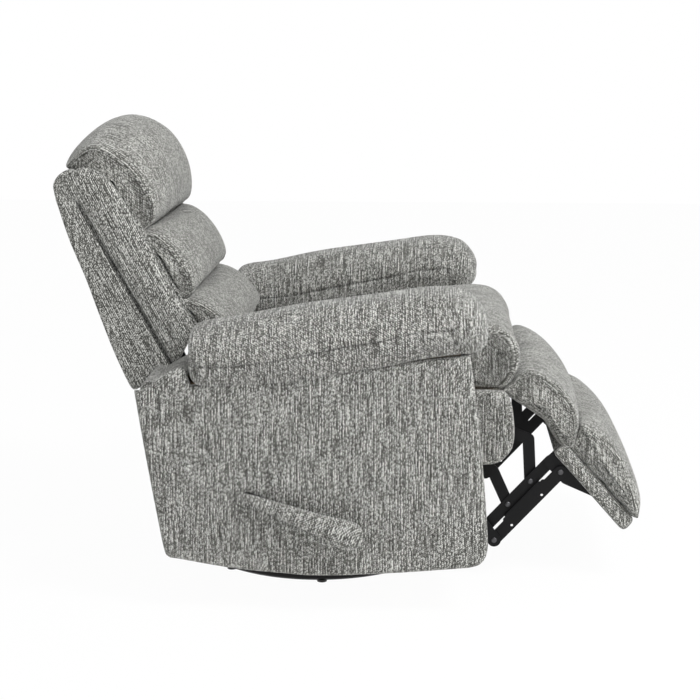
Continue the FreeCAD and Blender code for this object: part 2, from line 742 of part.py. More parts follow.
def inner_panel(name, side):
    """Inner side of the arm, beside the seat."""
    body = new_body(name)
    outer = s.arm_inner + s.inner_thickness
    side_piece(body, [
        (s.panel_rear + 12, s.panel_rear_low + 8, 8), (s.panel_front - 24, s.panel_rear_low + 8, 8),
        pad_front, pad_rear, (s.panel_rear_top_f + 60, s.panel_rear_top_u),
        (s.panel_rear_top_f + 40, s.panel_rear_top_u - 60, 12)], s.arm_inner, outer, side)
    if side < 0:
        holes(body, [drive_pivot], s.drive_radius + 3, s.arm_inner, outer, side)


def lerp(one, two, share):
    return (one[0] + (two[0] - one[0]) * share, one[1] + (two[1] - one[1]) * share)


def arm_frame(name, side):
    """Box frame of the arm: bottom, front, rear and top boards."""
    body = new_body(name)
    inner = s.arm_inner + s.inner_thickness
    outer = s.arm_outer - s.outer_thickness
    board = s.arm_board
    low = s.panel_rear_low + 8
    shelf = low + board
    thick = s.arm_front_thickness
    rear_low = s.panel_rear + s.arm_rear_inset
    rear_top = s.pad_rear_f - 40
    rear_high = s.pad_rear_u - board - 6
    front_top = s.front_lean_f - thick
    front_high = seam_at(front_top) - board
    side_piece(body, [
        (rear_low, low), (front_at(low) - thick, low), (front_at(shelf) - thick, shelf),
        (rear_low, shelf)], inner, outer, side)
    side_piece(body, [
        (front_at(shelf) - thick - board, shelf), (front_at(shelf) - thick, shelf),
        (front_at(front_high) - thick, front_high),
        (front_at(front_high) - thick - board, front_high)], inner, outer, side)
    side_piece(body, [
        (rear_low, shelf), (rear_low + board, shelf), (rear_top + board, rear_high),
        (rear_top, rear_high)], inner, outer, side)
    side_piece(body, [
        (rear_top, rear_high), (rear_top + board, rear_high), (front_top - board, front_high - 2),
        (front_at(front_high) - thick, front_high), (front_top, seam_at(front_top)), pad_rear,
        (rear_top, rear_high + board)], inner, outer, side)


def arm_front(name, side):
    """Padded front face of the arm."""
    body = new_body(name)
    thick = s.arm_front_thickness
    low = s.panel_rear_low + 8
    side_piece(body, [
        (front_at(low) - thick, low), (front_at(low), low, 8),
        (s.panel_front - 3, s.panel_front_step), pad_front,
        (s.front_lean_f - thick, seam_at(s.front_lean_f - thick)),
        (front_at(s.pad_front_u - 20) - thick, s.pad_front_u - 20)],
        s.arm_inner + s.inner_thickness, s.arm_outer - s.outer_thickness, side)


def loft(body, sketches):
    """Solid that runs straight between outlines with the same number of corners."""
    solid = body.newObject("PartDesign::AdditiveLoft", body.Name + "_loft")
    solid.Profile = sketches[0]
    solid.Sections = sketches[1:]
    solid.Ruled = True
    body.Tip = solid


# Section of an arm pad: share of its half width, share of its height.
PAD_SECTION = [
    (0.84, 0), (0.985, 0.15), (1, 0.37), (0.96, 0.56), (0.76, 0.81), (0.40, 0.955), (0, 1),
    (-0.46, 0.955), (-0.81, 0.81), (-0.95, 0.56), (-0.99, 0.37), (-0.97, 0.12), (-0.92, 0)]


def arm_pad(name, side):
    """Stuffed arm pad: round sections from the tucked rear end to the nose."""
    body = new_body(name)
    middle = (s.pad_inner + s.pad_outer) / 2
    half = (s.pad_outer - s.pad_inner) / 2
    behind, early, late = s.pad_rear_f + s.pad_tuck, s.pad_rear_f + 226, s.pad_top_f - 105
    stations = [
        (s.pad_rear_f - 8, s.pad_rear_u + 30, s.pad_rear_top - 30, 0.55),
        (s.pad_rear_f + 6, seam_at(s.pad_rear_f + 6), s.pad_rear_top + 1, 0.90),
        (behind, seam_at(behind), s.pad_rear_top + 10, 1),
        (early, seam_at(early), s.pad_early_top, 1),
        (late, seam_at(late), s.pad_top_u - 11, 1),
        (s.pad_top_f, seam_at(s.pad_top_f), s.pad_top_u, 1),
        (s.front_lean_f, s.pad_front_u, s.pad_top_u - 17, 0.95),
        (s.pad_nose_f - 14, s.pad_front_u + 2, s.pad_top_u - 38, 0.84),
        (s.pad_nose_f, s.pad_nose_u - 24, s.pad_nose_u + 18, 0.58)]
    sketches = []
    for forward, low, high, narrow in stations:
        corners = [((middle + half * across * narrow) * side, low + (high - low) * rise)
                   for across, rise in PAD_SECTION]
        sketches.append(draw_polygon(new_sketch(body, "XZ", forward), corners))
    loft(body, sketches)


def rear_panel():
    """Upholstered panel between the arms, below the back."""
    body = new_body("rear_panel")
    lean = (s.panel_rear - s.panel_rear_top_f) / (s.panel_rear_top_u - s.panel_rear_low)
    low_f = s.panel_rear - lean * (s.rear_panel_low - s.panel_rear_low) + 2
    top_f = s.panel_rear - lean * (s.rear_panel_top - s.panel_rear_low) + 2
    thick = s.rear_panel_thickness
    across_piece(body, [
        (low_f, s.rear_panel_low), (low_f + thick, s.rear_panel_low),
        (top_f + thick, s.rear_panel_top), (top_f, s.rear_panel_top)], s.arm_inner)


# Rear line and front plane of the back in side view.
back_low = (s.back_low_f, s.back_low_u)
back_high = (s.back_high_f, s.back_high_u)
plane_high = (s.plane_high_f, s.plane_high_u)
plane_low = (s.plane_low_f, s.plane_low_u)


def back_outside_panel():
    body = new_body("back_outside_panel")
    skin = s.back_skin
    across_piece(body, [
        back_low, (s.back_low_f + skin, s.back_low_u, 0, -s.back_curve),
        (s.back_high_f + skin, s.back_high_u), back_high + (0, s.back_curve)], s.back_half)
    across_piece(body, [
        back_high, (s.back_high_f + skin, s.back_high_u),
        (s.back_high_f + skin, s.back_high_u + s.back_lip),
        (s.back_high_f, s.back_high_u + s.back_lip - 6)], s.back_half)


def back_side(body, inset, inner, outer, side):
    """Side outline of the back between its outside panel and its front plane."""
    rear = s.back_skin + s.skin_gap + inset
    side_piece(body, [
        (s.back_low_f + rear, s.back_low_u + inset),
        (s.border_foot_f - inset, s.border_foot_u + inset / 2, 12),
        (s.plane_low_f - inset, s.plane_low_u), (s.plane_high_f - inset, s.plane_high_u, 30),
        (s.border_crown_f - inset / 2, s.border_crown_u - inset / 2, 20),
        (s.border_top_f, s.border_top_u - inset, 18),
        (s.back_high_f + rear, s.back_high_u + 24 - inset, 12),
        (s.back_high_f + rear, s.back_high_u - inset, 0, s.back_curve)], inner, outer, side)


def back_border(name, side):
    body = new_body(name)
    back_side(body, s.skin_gap, s.border_inner, s.back_half, side)


def back_frame():
    """Two shaped posts and three rails."""
    body = new_body("back_frame")
    inner = s.post_outer - s.post_thickness
    for side in (-1, 1):
        back_side(body, s.frame_inset, inner, s.post_outer, side)
    board, rail = s.board, s.back_rail
    depth = s.back_skin + s.skin_gap + s.frame_inset
    for height in (s.back_low_u + 24, s.mid_rail_u, s.back_high_u - rail):
        share = (height - s.back_low_u) / (s.back_high_u - s.back_low_u)
        rear = s.back_low_f + (s.back_high_f - s.back_low_f) * share + depth + 4
        lean = (s.back_low_f - s.back_high_f) / (s.back_high_u - s.back_low_u)
        across_piece(body, [
            (rear, height), (rear + board, height), (rear + board - lean * rail, height + rail),
            (rear - lean * rail, height + rail)], inner)


def back_brackets():
    """Steel brackets that hang the back on its pivots."""
    body = new_body("back_brackets")
    for side in (-1, 1):
        side_piece(body, [
            (s.recline_f + 20, s.recline_u - 20, 18), (s.recline_f + 20, s.recline_u + 30, 14),
            (s.border_foot_f + 6, s.border_foot_u + 86, 12), (s.border_foot_f - 60, s.border_foot_u + 70, 12),
            (s.border_foot_f - 30, s.border_foot_u + 6, 12), (s.recline_f - 22, s.recline_u - 20, 18)],
            lift_layer[0], lift_layer[1], side)
        holes(body, [recline], s.recline_pin + s.pin_clearance, lift_layer[0], lift_layer[1], side)


def back_webbing():
    """Straps across the back frame behind the pillows."""
    body = new_body("back_webbing")
    inner = s.post_outer - s.post_thickness
    run_f = plane_low[0] - plane_high[0]
    run_u = plane_high[1] - plane_low[1]
    length = math.hypot(run_f.number, run_u.number)
    in_f, in_u = run_f / length, run_u / length
    deep = s.frame_inset + s.skin_gap + 4
    for index in range(5):
        share = (index + 0.5) / 5
        mid = lerp(plane_low, plane_high, share)
        half, thick = s.strap_width / 2, s.strap_thickness
        top = (mid[0] - in_f * half - in_u * deep, mid[1] + in_u * half - in_f * deep)
        low = (mid[0] + in_f * half - in_u * deep, mid[1] - in_u * half - in_f * deep)
        across_piece(body, [
            low, top, (top[0] - in_u * thick, top[1] - in_f * thick),
            (low[0] - in_u * thick, low[1] - in_f * thick)], inner)


def stuffed(name, corners):
    """Pillow that is full in the middle and lower at its sewn ends."""
    body = new_body(name)
    half = s.pillow_half
    sketches = []
    for across, full in ((-half, 0), (-half * 0.82, 0.45), (-half * 0.46, 0.88),
                         (half * 0.46, 0.88), (half * 0.82, 0.45), (half, 0)):
        line = [(end[0] + (middle[0] - end[0]) * full, end[1] + (middle[1] - end[1]) * full)
                for middle, end in corners]
        sketches.append(draw_polygon(new_sketch(body, "YZ", across), flip(line)))
    loft(body, sketches)


def pillow(name, corners):
    body = new_body(name)
    across_piece(body, corners, s.pillow_half)


def back_pillows():
    gap = s.pillow_gap
    run_f = plane_low[0] - plane_high[0]
    run_u = plane_high[1] - plane_low[1]
    length = math.hypot(run_f.number, run_u.number)
    in_f, in_u = run_f / length, run_u / length
    border_top = (s.border_top_f, s.border_top_u)
    border_crown = (s.border_crown_f, s.border_crown_u)
    split_high = lerp(plane_low, plane_high, 0.80)
    split_low = lerp(plane_low, plane_high, 0.26)
    base = lerp(plane_low, plane_high, -0.04)
    rest = s.skin_gap - s.frame_inset * in_u

    def lift(place, along):
        return (place[0] + in_u * rest - in_f * along, place[1] + in_f * rest + in_u * along)

    stuffed("head_pillow", [
        (lift(split_high, gap), lift(split_high, gap)),
        (offset(split_high, 32, 12), offset(split_high, 16, 8)),
        (offset(split_high, 44, 45), offset(split_high, 26, 22)),
        (offset(split_high, 42, 90), offset(split_high, 20, 60)),
        (offset(split_high, 24, 138), offset(split_high, -2, 102)),
        (offset(split_high, -8, 184), offset(split_high, -34, 136)),
        (offset(split_high, -50, 214), offset(split_high, -66, 162)),
        (offset(split_high, -100, 220), offset(split_high, -104, 172)),
        (offset(split_high, -148, 202), offset(split_high, -138, 156)),
        (offset(split_high, -178, 168), offset(split_high, -150, 142)),
        (offset(border_top, -52, 6), offset(border_top, -34, 4)),
        (offset(border_top, 12, 3), offset(border_top, 12, 3)),
        (offset(border_crown, 6, 6), offset(border_crown, 6, 6)),
        (lift(plane_high, 6), lift(plane_high, 6))])
    pillow("middle_pillow", [
        lift(split_low, gap), (split_low[0] + 34, split_low[1] + 6, 8),
        (split_low[0] + 44, split_low[1] + 44, 24), (split_low[0] + 22, split_low[1] + 106, 40),
        (split_high[0] + 30, split_high[1] + 11, 10), lift(split_high, -gap)])
    pillow("lumbar_pillow", [
        lift(base, 0), (base[0] + 78, base[1] - 26, 12), (base[0] + 84, base[1] + 10, 20),
        (base[0] + 34, base[1] + 70, 30), (split_low[0] + 32, split_low[1] + 5, 8),
        lift(split_low, -gap)])


def on_rest(along, above):
    """Place in the footrest's own directions, along its underside and out from it."""
    along, above = as_size(along), as_size(above)
    return (s.rest_f + along * s.rest_slope_f + above * s.rest_slope_u,
            s.rest_u - along * s.rest_slope_u + above * s.rest_slope_f)


def footrest_board():
    body = new_body("footrest_board")
    thick, long = s.rest_board, s.rest_length
    across_piece(body, [
        on_rest(0, 0) + (8,), on_rest(long, 0) + (10,), on_rest(long, thick) + (12,),
        on_rest(0, thick) + (8,)], s.rest_half)


def footrest_pad():
    body = new_body("footrest_pad")
    low = s.rest_board + 0.5
    top = s.rest_pad_top
    across_piece(body, [
        on_rest(0, low), on_rest(-12, low + 24) + (10,), on_rest(-10, top - 8) + (20,),
        on_rest(80, top + 4) + (60,), on_rest(200, top - 12) + (36,),
        on_rest(230, low + 20) + (12,), on_rest(222, low)], s.rest_half)


def footrest_brackets():
    """Angle brackets under the board: a flange on the board and a web with two pivots."""
    body = new_body("footrest_brackets")
    sheet_out = s.link_sheet
    for side in (-1, 1):
        side_piece(body, [
            on_rest(0, -sheet_out), on_rest(s.rest_bracket_length, -sheet_out),
            on_rest(s.rest_bracket_length, 0), on_rest(0, 0)],
            web_layer[1] - s.flange_width, web_layer[1], side)
        side_piece(body, [
            on_rest(-4, 0), on_rest(-4, -s.web_depth) + (12,), on_rest(64, -s.web_depth) + (20,),
            on_rest(s.rest_bracket_length, -sheet_out),
            on_rest(s.rest_bracket_length, 0)], web_layer[0], web_layer[1], side)
        pin(body, upper_far, s.pin_radius, upper_layer[0] - 0.5, web_layer[0], side)
        pin(body, lower_far, s.pin_radius, web_layer[1], lower_layer[1] + 0.5, side)


def footrest_tube():
    """Tube that ties the two footrest brackets."""
    body = new_body("footrest_tube")
    place = flip([on_rest(78, -s.rest_tube_radius - 4)])[0]
    sketch = draw_circle(new_sketch(body, "YZ", -web_layer[0]), place, s.rest_tube_radius)
    pad(body, sketch, web_layer[0] * 2)


def chaise_pad():
    """Soft bridge between the seat and the footrest."""
    body = new_body("chaise_pad")
    across_piece(body, [
        (s.hinge_f + 7, s.hinge_u + 18), (s.hinge_f + 16, s.hinge_u + 50),
        (s.hinge_f + 27, s.hinge_u + 74, 6), (s.hinge_f + 75, s.hinge_u + 62, 20),
        (s.hinge_f + 111, s.hinge_u + 33, 20), (s.hinge_f + 137, s.hinge_u - 16, 20),
        on_rest(-14, s.rest_board + 34), on_rest(-6, s.rest_board - 6),
        (s.rest_f + 4, s.rest_u + 40, 10), (s.hinge_f + 84, s.hinge_u - 37, 10),
        (s.hinge_f + 37, s.hinge_u - 2, 10)], s.chaise_half)


base_ring()
base_feet()
base_spider()
swivel_lower_plate()
swivel_upper_plate()
king_bolt()
for word, side in (("right", -1), ("left", 1)):
    glider_stand("glider_stand_" + word, side)
    glide_link("front_glide_link_" + word, s.glide_reach, side)
    glide_link("rear_glide_link_" + word, -s.glide_reach, side)
    carriage_rail("carriage_rail_" + word, side)
    side_plate("side_plate_" + word, side)
    outer_panel("outer_panel_" + word, side)
    inner_panel("inner_panel_" + word, side)
    arm_frame("arm_frame_" + word, side)
    arm_front("arm_front_" + word, side)
    arm_pad("arm_pad_" + word, side)
    back_border("back_border_" + word, side)
cross_members()
lift_links()
upper_links()
lower_links()
bowed_links("brace_links", brace_top, brace_low, s.brace_bow, brace_layer)
bowed_links("knee_links", knee_top, knee_low, s.knee_bow, knee_layer)
drive_links()
drive_tube()
lever_handle()
lever_grip()
seat_frame()
seat_springs()
seat_cushion()
front_rail_pad()
rear_panel()
back_frame()
back_brackets()
back_webbing()
back_outside_panel()
back_pillows()
footrest_board()
footrest_pad()
footrest_brackets()
footrest_tube()
chaise_pad()

doc.recompute()
faults = []
for item in doc.Objects:
    if "Invalid" in item.State or "Error" in item.State:
        faults.append("%s: %s" % (item.Name, item.State))
for name, item in NODES.items():
    if item.Shape.isNull() or not item.Shape.isValid() or not item.Shape.Solids:
        faults.append(name + " has no valid solid")
if faults:
    raise RuntimeError("; ".join(faults))
os.makedirs("parts", exist_ok=True)
for name, item in NODES.items():
    item.Shape.exportStep("parts/%s.step" % name)
    box = item.Shape.BoundBox
    print("%-24s solids %d  volume %9.0f  x %.0f..%.0f  y %.0f..%.0f  z %.0f..%.0f" % (
        name, len(item.Shape.Solids), item.Shape.Volume, box.XMin, box.XMax, box.YMin, box.YMax,
        box.ZMin, box.ZMax))
print(len(NODES), "nodes")
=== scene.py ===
import math
import bmesh
import bpy
import numpy as np
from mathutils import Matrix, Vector


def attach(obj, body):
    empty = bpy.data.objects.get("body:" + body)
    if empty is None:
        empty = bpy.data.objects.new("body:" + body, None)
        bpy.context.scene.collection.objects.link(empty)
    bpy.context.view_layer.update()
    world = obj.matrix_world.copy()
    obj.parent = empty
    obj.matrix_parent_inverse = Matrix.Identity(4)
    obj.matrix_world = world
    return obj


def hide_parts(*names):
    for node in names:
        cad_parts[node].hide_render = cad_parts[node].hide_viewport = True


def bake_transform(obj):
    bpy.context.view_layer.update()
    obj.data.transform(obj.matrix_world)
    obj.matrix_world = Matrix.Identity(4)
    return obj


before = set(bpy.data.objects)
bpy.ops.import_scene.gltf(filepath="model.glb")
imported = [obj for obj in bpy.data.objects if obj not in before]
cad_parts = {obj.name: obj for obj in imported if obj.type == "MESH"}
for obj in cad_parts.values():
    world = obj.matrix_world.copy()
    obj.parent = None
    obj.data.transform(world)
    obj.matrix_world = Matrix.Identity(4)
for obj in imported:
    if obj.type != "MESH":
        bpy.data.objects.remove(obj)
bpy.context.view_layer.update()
bpy.ops.object.select_all(action="DESELECT")


# ---------------------------------------------------------------------------
# View and light. The chair is seen from its right side, a little from above,
# on a pale seamless floor under wide soft lamps.
scene = bpy.context.scene
scene.view_settings.view_transform = "Standard"

turned, dipped = math.radians(3.0), math.radians(12.4)
look = Vector((math.cos(turned) * math.cos(dipped), math.sin(turned) * math.cos(dipped),
               -math.sin(dipped)))
bpy.ops.object.camera_add(location=(-3.334, -0.245, 1.196),
                          rotation=look.to_track_quat("-Z", "Y").to_euler())
camera = bpy.context.object
camera.data.lens = 75.09
camera.data.sensor_width = 36
scene.camera = camera


def soft_lamp(name, place, aim, size, watts):
    """A square softbox that faces the point aim."""
    turn = (Vector(aim) - Vector(place)).to_track_quat("-Z", "Y").to_euler()
    bpy.ops.object.light_add(type="AREA", location=place, rotation=turn)
    lamp = bpy.context.object
    lamp.name = name
    lamp.data.shape = "SQUARE"
    lamp.data.size = size
    lamp.data.energy = watts


soft_lamp("lamp_over", (-1.5, -1.9, 3.2), (0, 0, 0.4), 1.0, 92)
soft_lamp("lamp_front", (-0.8, -3.6, 1.7), (0, 0, 0.5), 2.0, 20)
soft_lamp("lamp_side", (-3.4, 1.3, 2.1), (0, 0, 0.5), 2.2, 14)

world = bpy.data.worlds.new("studio")
scene.world = world
world.use_nodes = True
sky = world.node_tree
sky.nodes.clear()


def add_node(tree, kind, sockets=(), **settings):
    """One shader node, with its settings and with what goes into its sockets."""
    node = tree.nodes.new(kind)
    for name, value in settings.items():
        setattr(node, name, value)
    for key, value in sockets:
        if isinstance(value, bpy.types.NodeSocket):
            tree.links.new(value, node.inputs[key])
        else:
            node.inputs[key].default_value = value
    return node


def seen_directly(tree):
    """1 for what the camera, a reflection or a clear surface sees, 0 for lighting."""
    path = add_node(tree, "ShaderNodeLightPath")
    some = add_node(tree, "ShaderNodeMath", (
        (0, path.outputs["Is Camera Ray"]), (1, path.outputs["Is Glossy Ray"])),
        operation="ADD")
    return add_node(tree, "ShaderNodeMath", (
        (0, some.outputs[0]), (1, path.outputs["Is Transmission Ray"])),
        operation="ADD", use_clamp=True).outputs[0]


lighting = add_node(sky, "ShaderNodeBackground", (("Color", (1, 1, 1, 1)), ("Strength", 0.56)))
backdrop = add_node(sky, "ShaderNodeBackground", (("Color", (1, 1, 1, 1)), ("Strength", 1.0)))
sky_mix = add_node(sky, "ShaderNodeMixShader", (
    (0, seen_directly(sky)), (1, lighting.outputs[0]), (2, backdrop.outputs[0])))
add_node(sky, "ShaderNodeOutputWorld", (("Surface", sky_mix.outputs[0]),))


def new_material(name):
    """An empty material with its output node, and its node tree."""
    material = bpy.data.materials.new(name)
    material.use_nodes = True
    tree = material.node_tree
    tree.nodes.clear()
    return material, tree


def surface(tree, sockets):
    """Ends a material in one principled surface."""
    body = add_node(tree, "ShaderNodeBsdfPrincipled", sockets)
    add_node(tree, "ShaderNodeOutputMaterial", (("Surface", body.outputs[0]),))


bpy.ops.mesh.primitive_plane_add(size=14, location=(0, 0, -0.0005))
floor = bpy.context.object
floor.name = "studio_floor"
floor_paint, tree = new_material("floor_paint")
grain = add_node(tree, "ShaderNodeTexNoise", (("Scale", 40.0), ("Detail", 3.0)))
tint = add_node(tree, "ShaderNodeMix", (
    (0, grain.outputs[0]), (6, (0.93, 0.93, 0.93, 1)), (7, (0.96, 0.96, 0.96, 1))),
    data_type="RGBA")
matt = add_node(tree, "ShaderNodeBsdfPrincipled", (
    ("Base Color", tint.outputs[2]), ("Roughness", 0.9)))
glow = add_node(tree, "ShaderNodeEmission", (("Color", (1, 1, 1, 1)), ("Strength", 1.0)))
share = add_node(tree, "ShaderNodeMath", ((0, seen_directly(tree)), (1, 0.965)), operation="MULTIPLY")
both = add_node(tree, "ShaderNodeMixShader", (
    (0, share.outputs[0]), (1, matt.outputs[0]), (2, glow.outputs[0])))
add_node(tree, "ShaderNodeOutputMaterial", (("Surface", both.outputs[0]),))
floor.data.materials.append(floor_paint)


# ---------------------------------------------------------------------------
# Black steel: ring base, spider, glide links, side plates and footrest links.
# Pressed strip and tube, baked black paint, rubbed grey where the parts work.
def new_group(name, takes, gives):
    """An empty node group with its sockets, each (name, kind), and what comes into it."""
    group = bpy.data.node_groups.new(name, "ShaderNodeTree")
    for way, sockets in (("INPUT", takes), ("OUTPUT", gives)):
        for socket, kind in sockets:
            group.interface.new_socket(socket, in_out=way, socket_type="NodeSocket" + kind)
    return group, add_node(group, "NodeGroupInput").outputs


def worn_finish_group():
    """Paint or plating with rubbed spots and dust: gives a colour, roughness and height."""
    group, ins = new_group("worn_finish", (
        ("Finish", "Color"), ("Rubbed", "Color"), ("Rub", "Float"), ("Scale", "Float"),
        ("Rough", "Float")), (("Color", "Color"), ("Roughness", "Float"), ("Height", "Float")))
    place = add_node(group, "ShaderNodeTexCoord").outputs["Object"]
    cloud = add_node(group, "ShaderNodeTexNoise", (
        ("Vector", place), ("Scale", ins["Scale"]), ("Detail", 6.0), ("Roughness", 0.62)))
    fine = add_node(group, "ShaderNodeTexNoise", (
        ("Vector", place), ("Scale", 900.0), ("Detail", 2.0)))
    low = add_node(group, "ShaderNodeMath", ((0, 0.78), (1, ins["Rub"])), operation="SUBTRACT")
    rubbed = add_node(group, "ShaderNodeMapRange", (
        ("Value", cloud.outputs[0]), ("From Min", low.outputs[0]), ("From Max", 0.8)),
        interpolation_type="SMOOTHSTEP")
    colour = add_node(group, "ShaderNodeMix", (
        (0, rubbed.outputs[0]), (6, ins["Finish"]), (7, ins["Rubbed"])), data_type="RGBA")
    spread = add_node(group, "ShaderNodeMath", (
        (0, cloud.outputs[0]), (1, 0.3), (2, ins["Rough"])), operation="MULTIPLY_ADD")
    rough = add_node(group, "ShaderNodeMath", ((0, spread.outputs[0]), (1, 0.15)),
                     operation="SUBTRACT", use_clamp=True)
    add_node(group, "NodeGroupOutput", (
        ("Color", colour.outputs[2]), ("Roughness", rough.outputs[0]),
        ("Height", fine.outputs[0])))
    return group


worn_finish = worn_finish_group()


def hard_material(name, finish, rubbed, rub, scale, rough, metal, bump, gleam=0.5):
    """A painted, plated or moulded surface from the worn finish group."""
    material, tree = new_material(name)
    worn = add_node(tree, "ShaderNodeGroup", (
        ("Finish", finish + (1,)), ("Rubbed", rubbed + (1,)), ("Rub", rub), ("Scale", scale),
        ("Rough", rough)), node_tree=worn_finish)
    relief = add_node(tree, "ShaderNodeBump", (
        ("Height", worn.outputs["Height"]), ("Strength", bump), ("Distance", 0.0004)))
    surface(tree, (
        ("Base Color", worn.outputs["Color"]), ("Roughness", worn.outputs["Roughness"]),
        ("Normal", relief.outputs[0]), ("Metallic", metal), ("Specular IOR Level", gleam)))
    return material


black_paint = hard_material("black_paint", (0.0045, 0.0045, 0.005), (0.035, 0.034, 0.032),
                            0.08, 26.0, 0.5, 0.0, 0.35, gleam=0.22)
zinc_plate = hard_material("zinc_plate", (0.40, 0.40, 0.39), (0.22, 0.21, 0.19),
                           0.14, 34.0, 0.36, 0.9, 0.25)
spring_steel = hard_material("spring_steel", (0.10, 0.10, 0.105), (0.25, 0.24, 0.22),
                             0.16, 60.0, 0.34, 0.8, 0.2)
nylon = hard_material("nylon", (0.035, 0.035, 0.035), (0.08, 0.08, 0.08),
                      0.1, 40.0, 0.5, 0.0, 0.3)


def finish_nodes(material, names):
    """Puts one material on CAD nodes."""
    for name in names:
        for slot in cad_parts[name].material_slots:
            slot.material = material


sides = (("right", -1), ("left", 1))
finish_nodes(black_paint, [
    "base_ring", "base_spider", "cross_members", "lift_links", "upper_links", "lower_links",
    "brace_links", "knee_links", "drive_links", "drive_tube", "lever_handle", "back_brackets",
    "footrest_brackets", "footrest_tube"]
    + [name + word for word, _ in sides
       for name in ("glider_stand_", "front_glide_link_", "rear_glide_link_", "carriage_rail_",
                    "side_plate_")])
finish_nodes(zinc_plate, ["swivel_lower_plate", "swivel_upper_plate", "king_bolt"])
finish_nodes(spring_steel, ["seat_springs"])
finish_nodes(nylon, ["base_feet"])


# Turned up edge of the lower footrest bar, and domed rivet heads on the links.
def join_up(made, name, material):
    """Joins new pieces into one, with its name and material."""
    for piece in made:
        piece.select_set(True)
    bpy.ops.object.transform_apply(location=True, rotation=True, scale=True)
    bpy.ops.object.join()
    whole = bpy.context.object
    whole.name = name
    whole.data.materials.append(material)
    return whole


def flat_bar(name, one, two, wide, inner, outer):
    """A flat steel bar with rounded ends on both sides of the chair, between two places."""
    made = []
    run = (Vector(two) - Vector(one)) / 1000
    middle = (Vector(one) + Vector(two)) / 2000
    for side in (-1, 1):
        bpy.ops.mesh.primitive_cube_add(
            size=1, location=(side * (inner + outer) / 2, -middle[0], middle[1]),
            rotation=(math.atan2(run[1], -run[0]), 0, 0),
            scale=(outer - inner, run.length, wide / 1000))
        made.append(bpy.context.object)
    bar = join_up(made, name, black_paint)
    bpy.ops.object.modifier_add(type="BEVEL")
    bar.modifiers[-1].width = 0.0006
    bar.modifiers[-1].segments = 2
    bpy.ops.object.modifier_apply(modifier=bar.modifiers[-1].name)
    bpy.ops.object.select_all(action="DESELECT")
    return bar


edge = flat_bar("lower_bar_edge", (426.2, 143.4), (500.0, 225.6), 6, 0.2463, 0.2487)
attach(edge, "lower_reach")


def rivet_heads(name, places, face, body):
    """Domed heads on a flat bar, on both sides of the chair."""
    radius, flatness = 0.0062, 0.4
    made = []
    for side in (-1, 1):
        for forward, up in places:
            bpy.ops.mesh.primitive_uv_sphere_add(
                segments=24, ring_count=12, radius=radius,
                location=(side * face, -forward / 1000, up / 1000), scale=(flatness, 1, 1))
            made.append(bpy.context.object)
    heads = join_up(made, name, spring_steel)
    bpy.ops.object.shade_smooth()
    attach(heads, body)
    bpy.ops.object.select_all(action="DESELECT")


rivet_heads("lift_rivets", [(381.0, 113.0), (403.0, 90.0)], 0.2532, "lift")
rivet_heads("plate_rivets", [(288.0, 242.0), (339.1, 298.9), (387.4, 352.6)], 0.2572, "seat_unit")
rivet_heads("lower_bar_rivets", [(545.0, 248.0)], 0.2492, "lower_reach")
rivet_heads("upper_bar_rivets", [(432.1, 169.9), (480.4, 223.6)], 0.2412, "upper_reach")


# ---------------------------------------------------------------------------
# Wooden seat, arm and back frames. Rough sawn hardwood rails, glued and
# screwed, hidden by the covers except from below.
hardwood, tree = new_material("sawn_hardwood")
place = add_node(tree, "ShaderNodeTexCoord").outputs["Object"]
along = add_node(tree, "ShaderNodeMapping", (("Vector", place), ("Scale", (6.0, 1.0, 6.0))))
rings = add_node(tree, "ShaderNodeTexNoise", (
    ("Vector", along.outputs[0]), ("Scale", 9.0), ("Detail", 6.0), ("Distortion", 1.2)))
pores = add_node(tree, "ShaderNodeTexNoise", (
    ("Vector", along.outputs[0]), ("Scale", 120.0), ("Detail", 2.0)))
wood_tone = add_node(tree, "ShaderNodeMix", (
    (0, rings.outputs[0]), (6, (0.36, 0.23, 0.12, 1)), (7, (0.62, 0.45, 0.27, 1))),
    data_type="RGBA")
wood_relief = add_node(tree, "ShaderNodeBump", (
    ("Height", pores.outputs[0]), ("Strength", 0.5), ("Distance", 0.0006)))
wood_rough = add_node(tree, "ShaderNodeMapRange", (
    ("Value", pores.outputs[0]), ("To Min", 0.6), ("To Max", 0.85)))
surface(tree, (("Base Color", wood_tone.outputs[2]), ("Roughness", wood_rough.outputs[0]),
               ("Normal", wood_relief.outputs[0])))
finish_nodes(hardwood, ["seat_frame", "back_frame", "arm_frame_right", "arm_frame_left"])


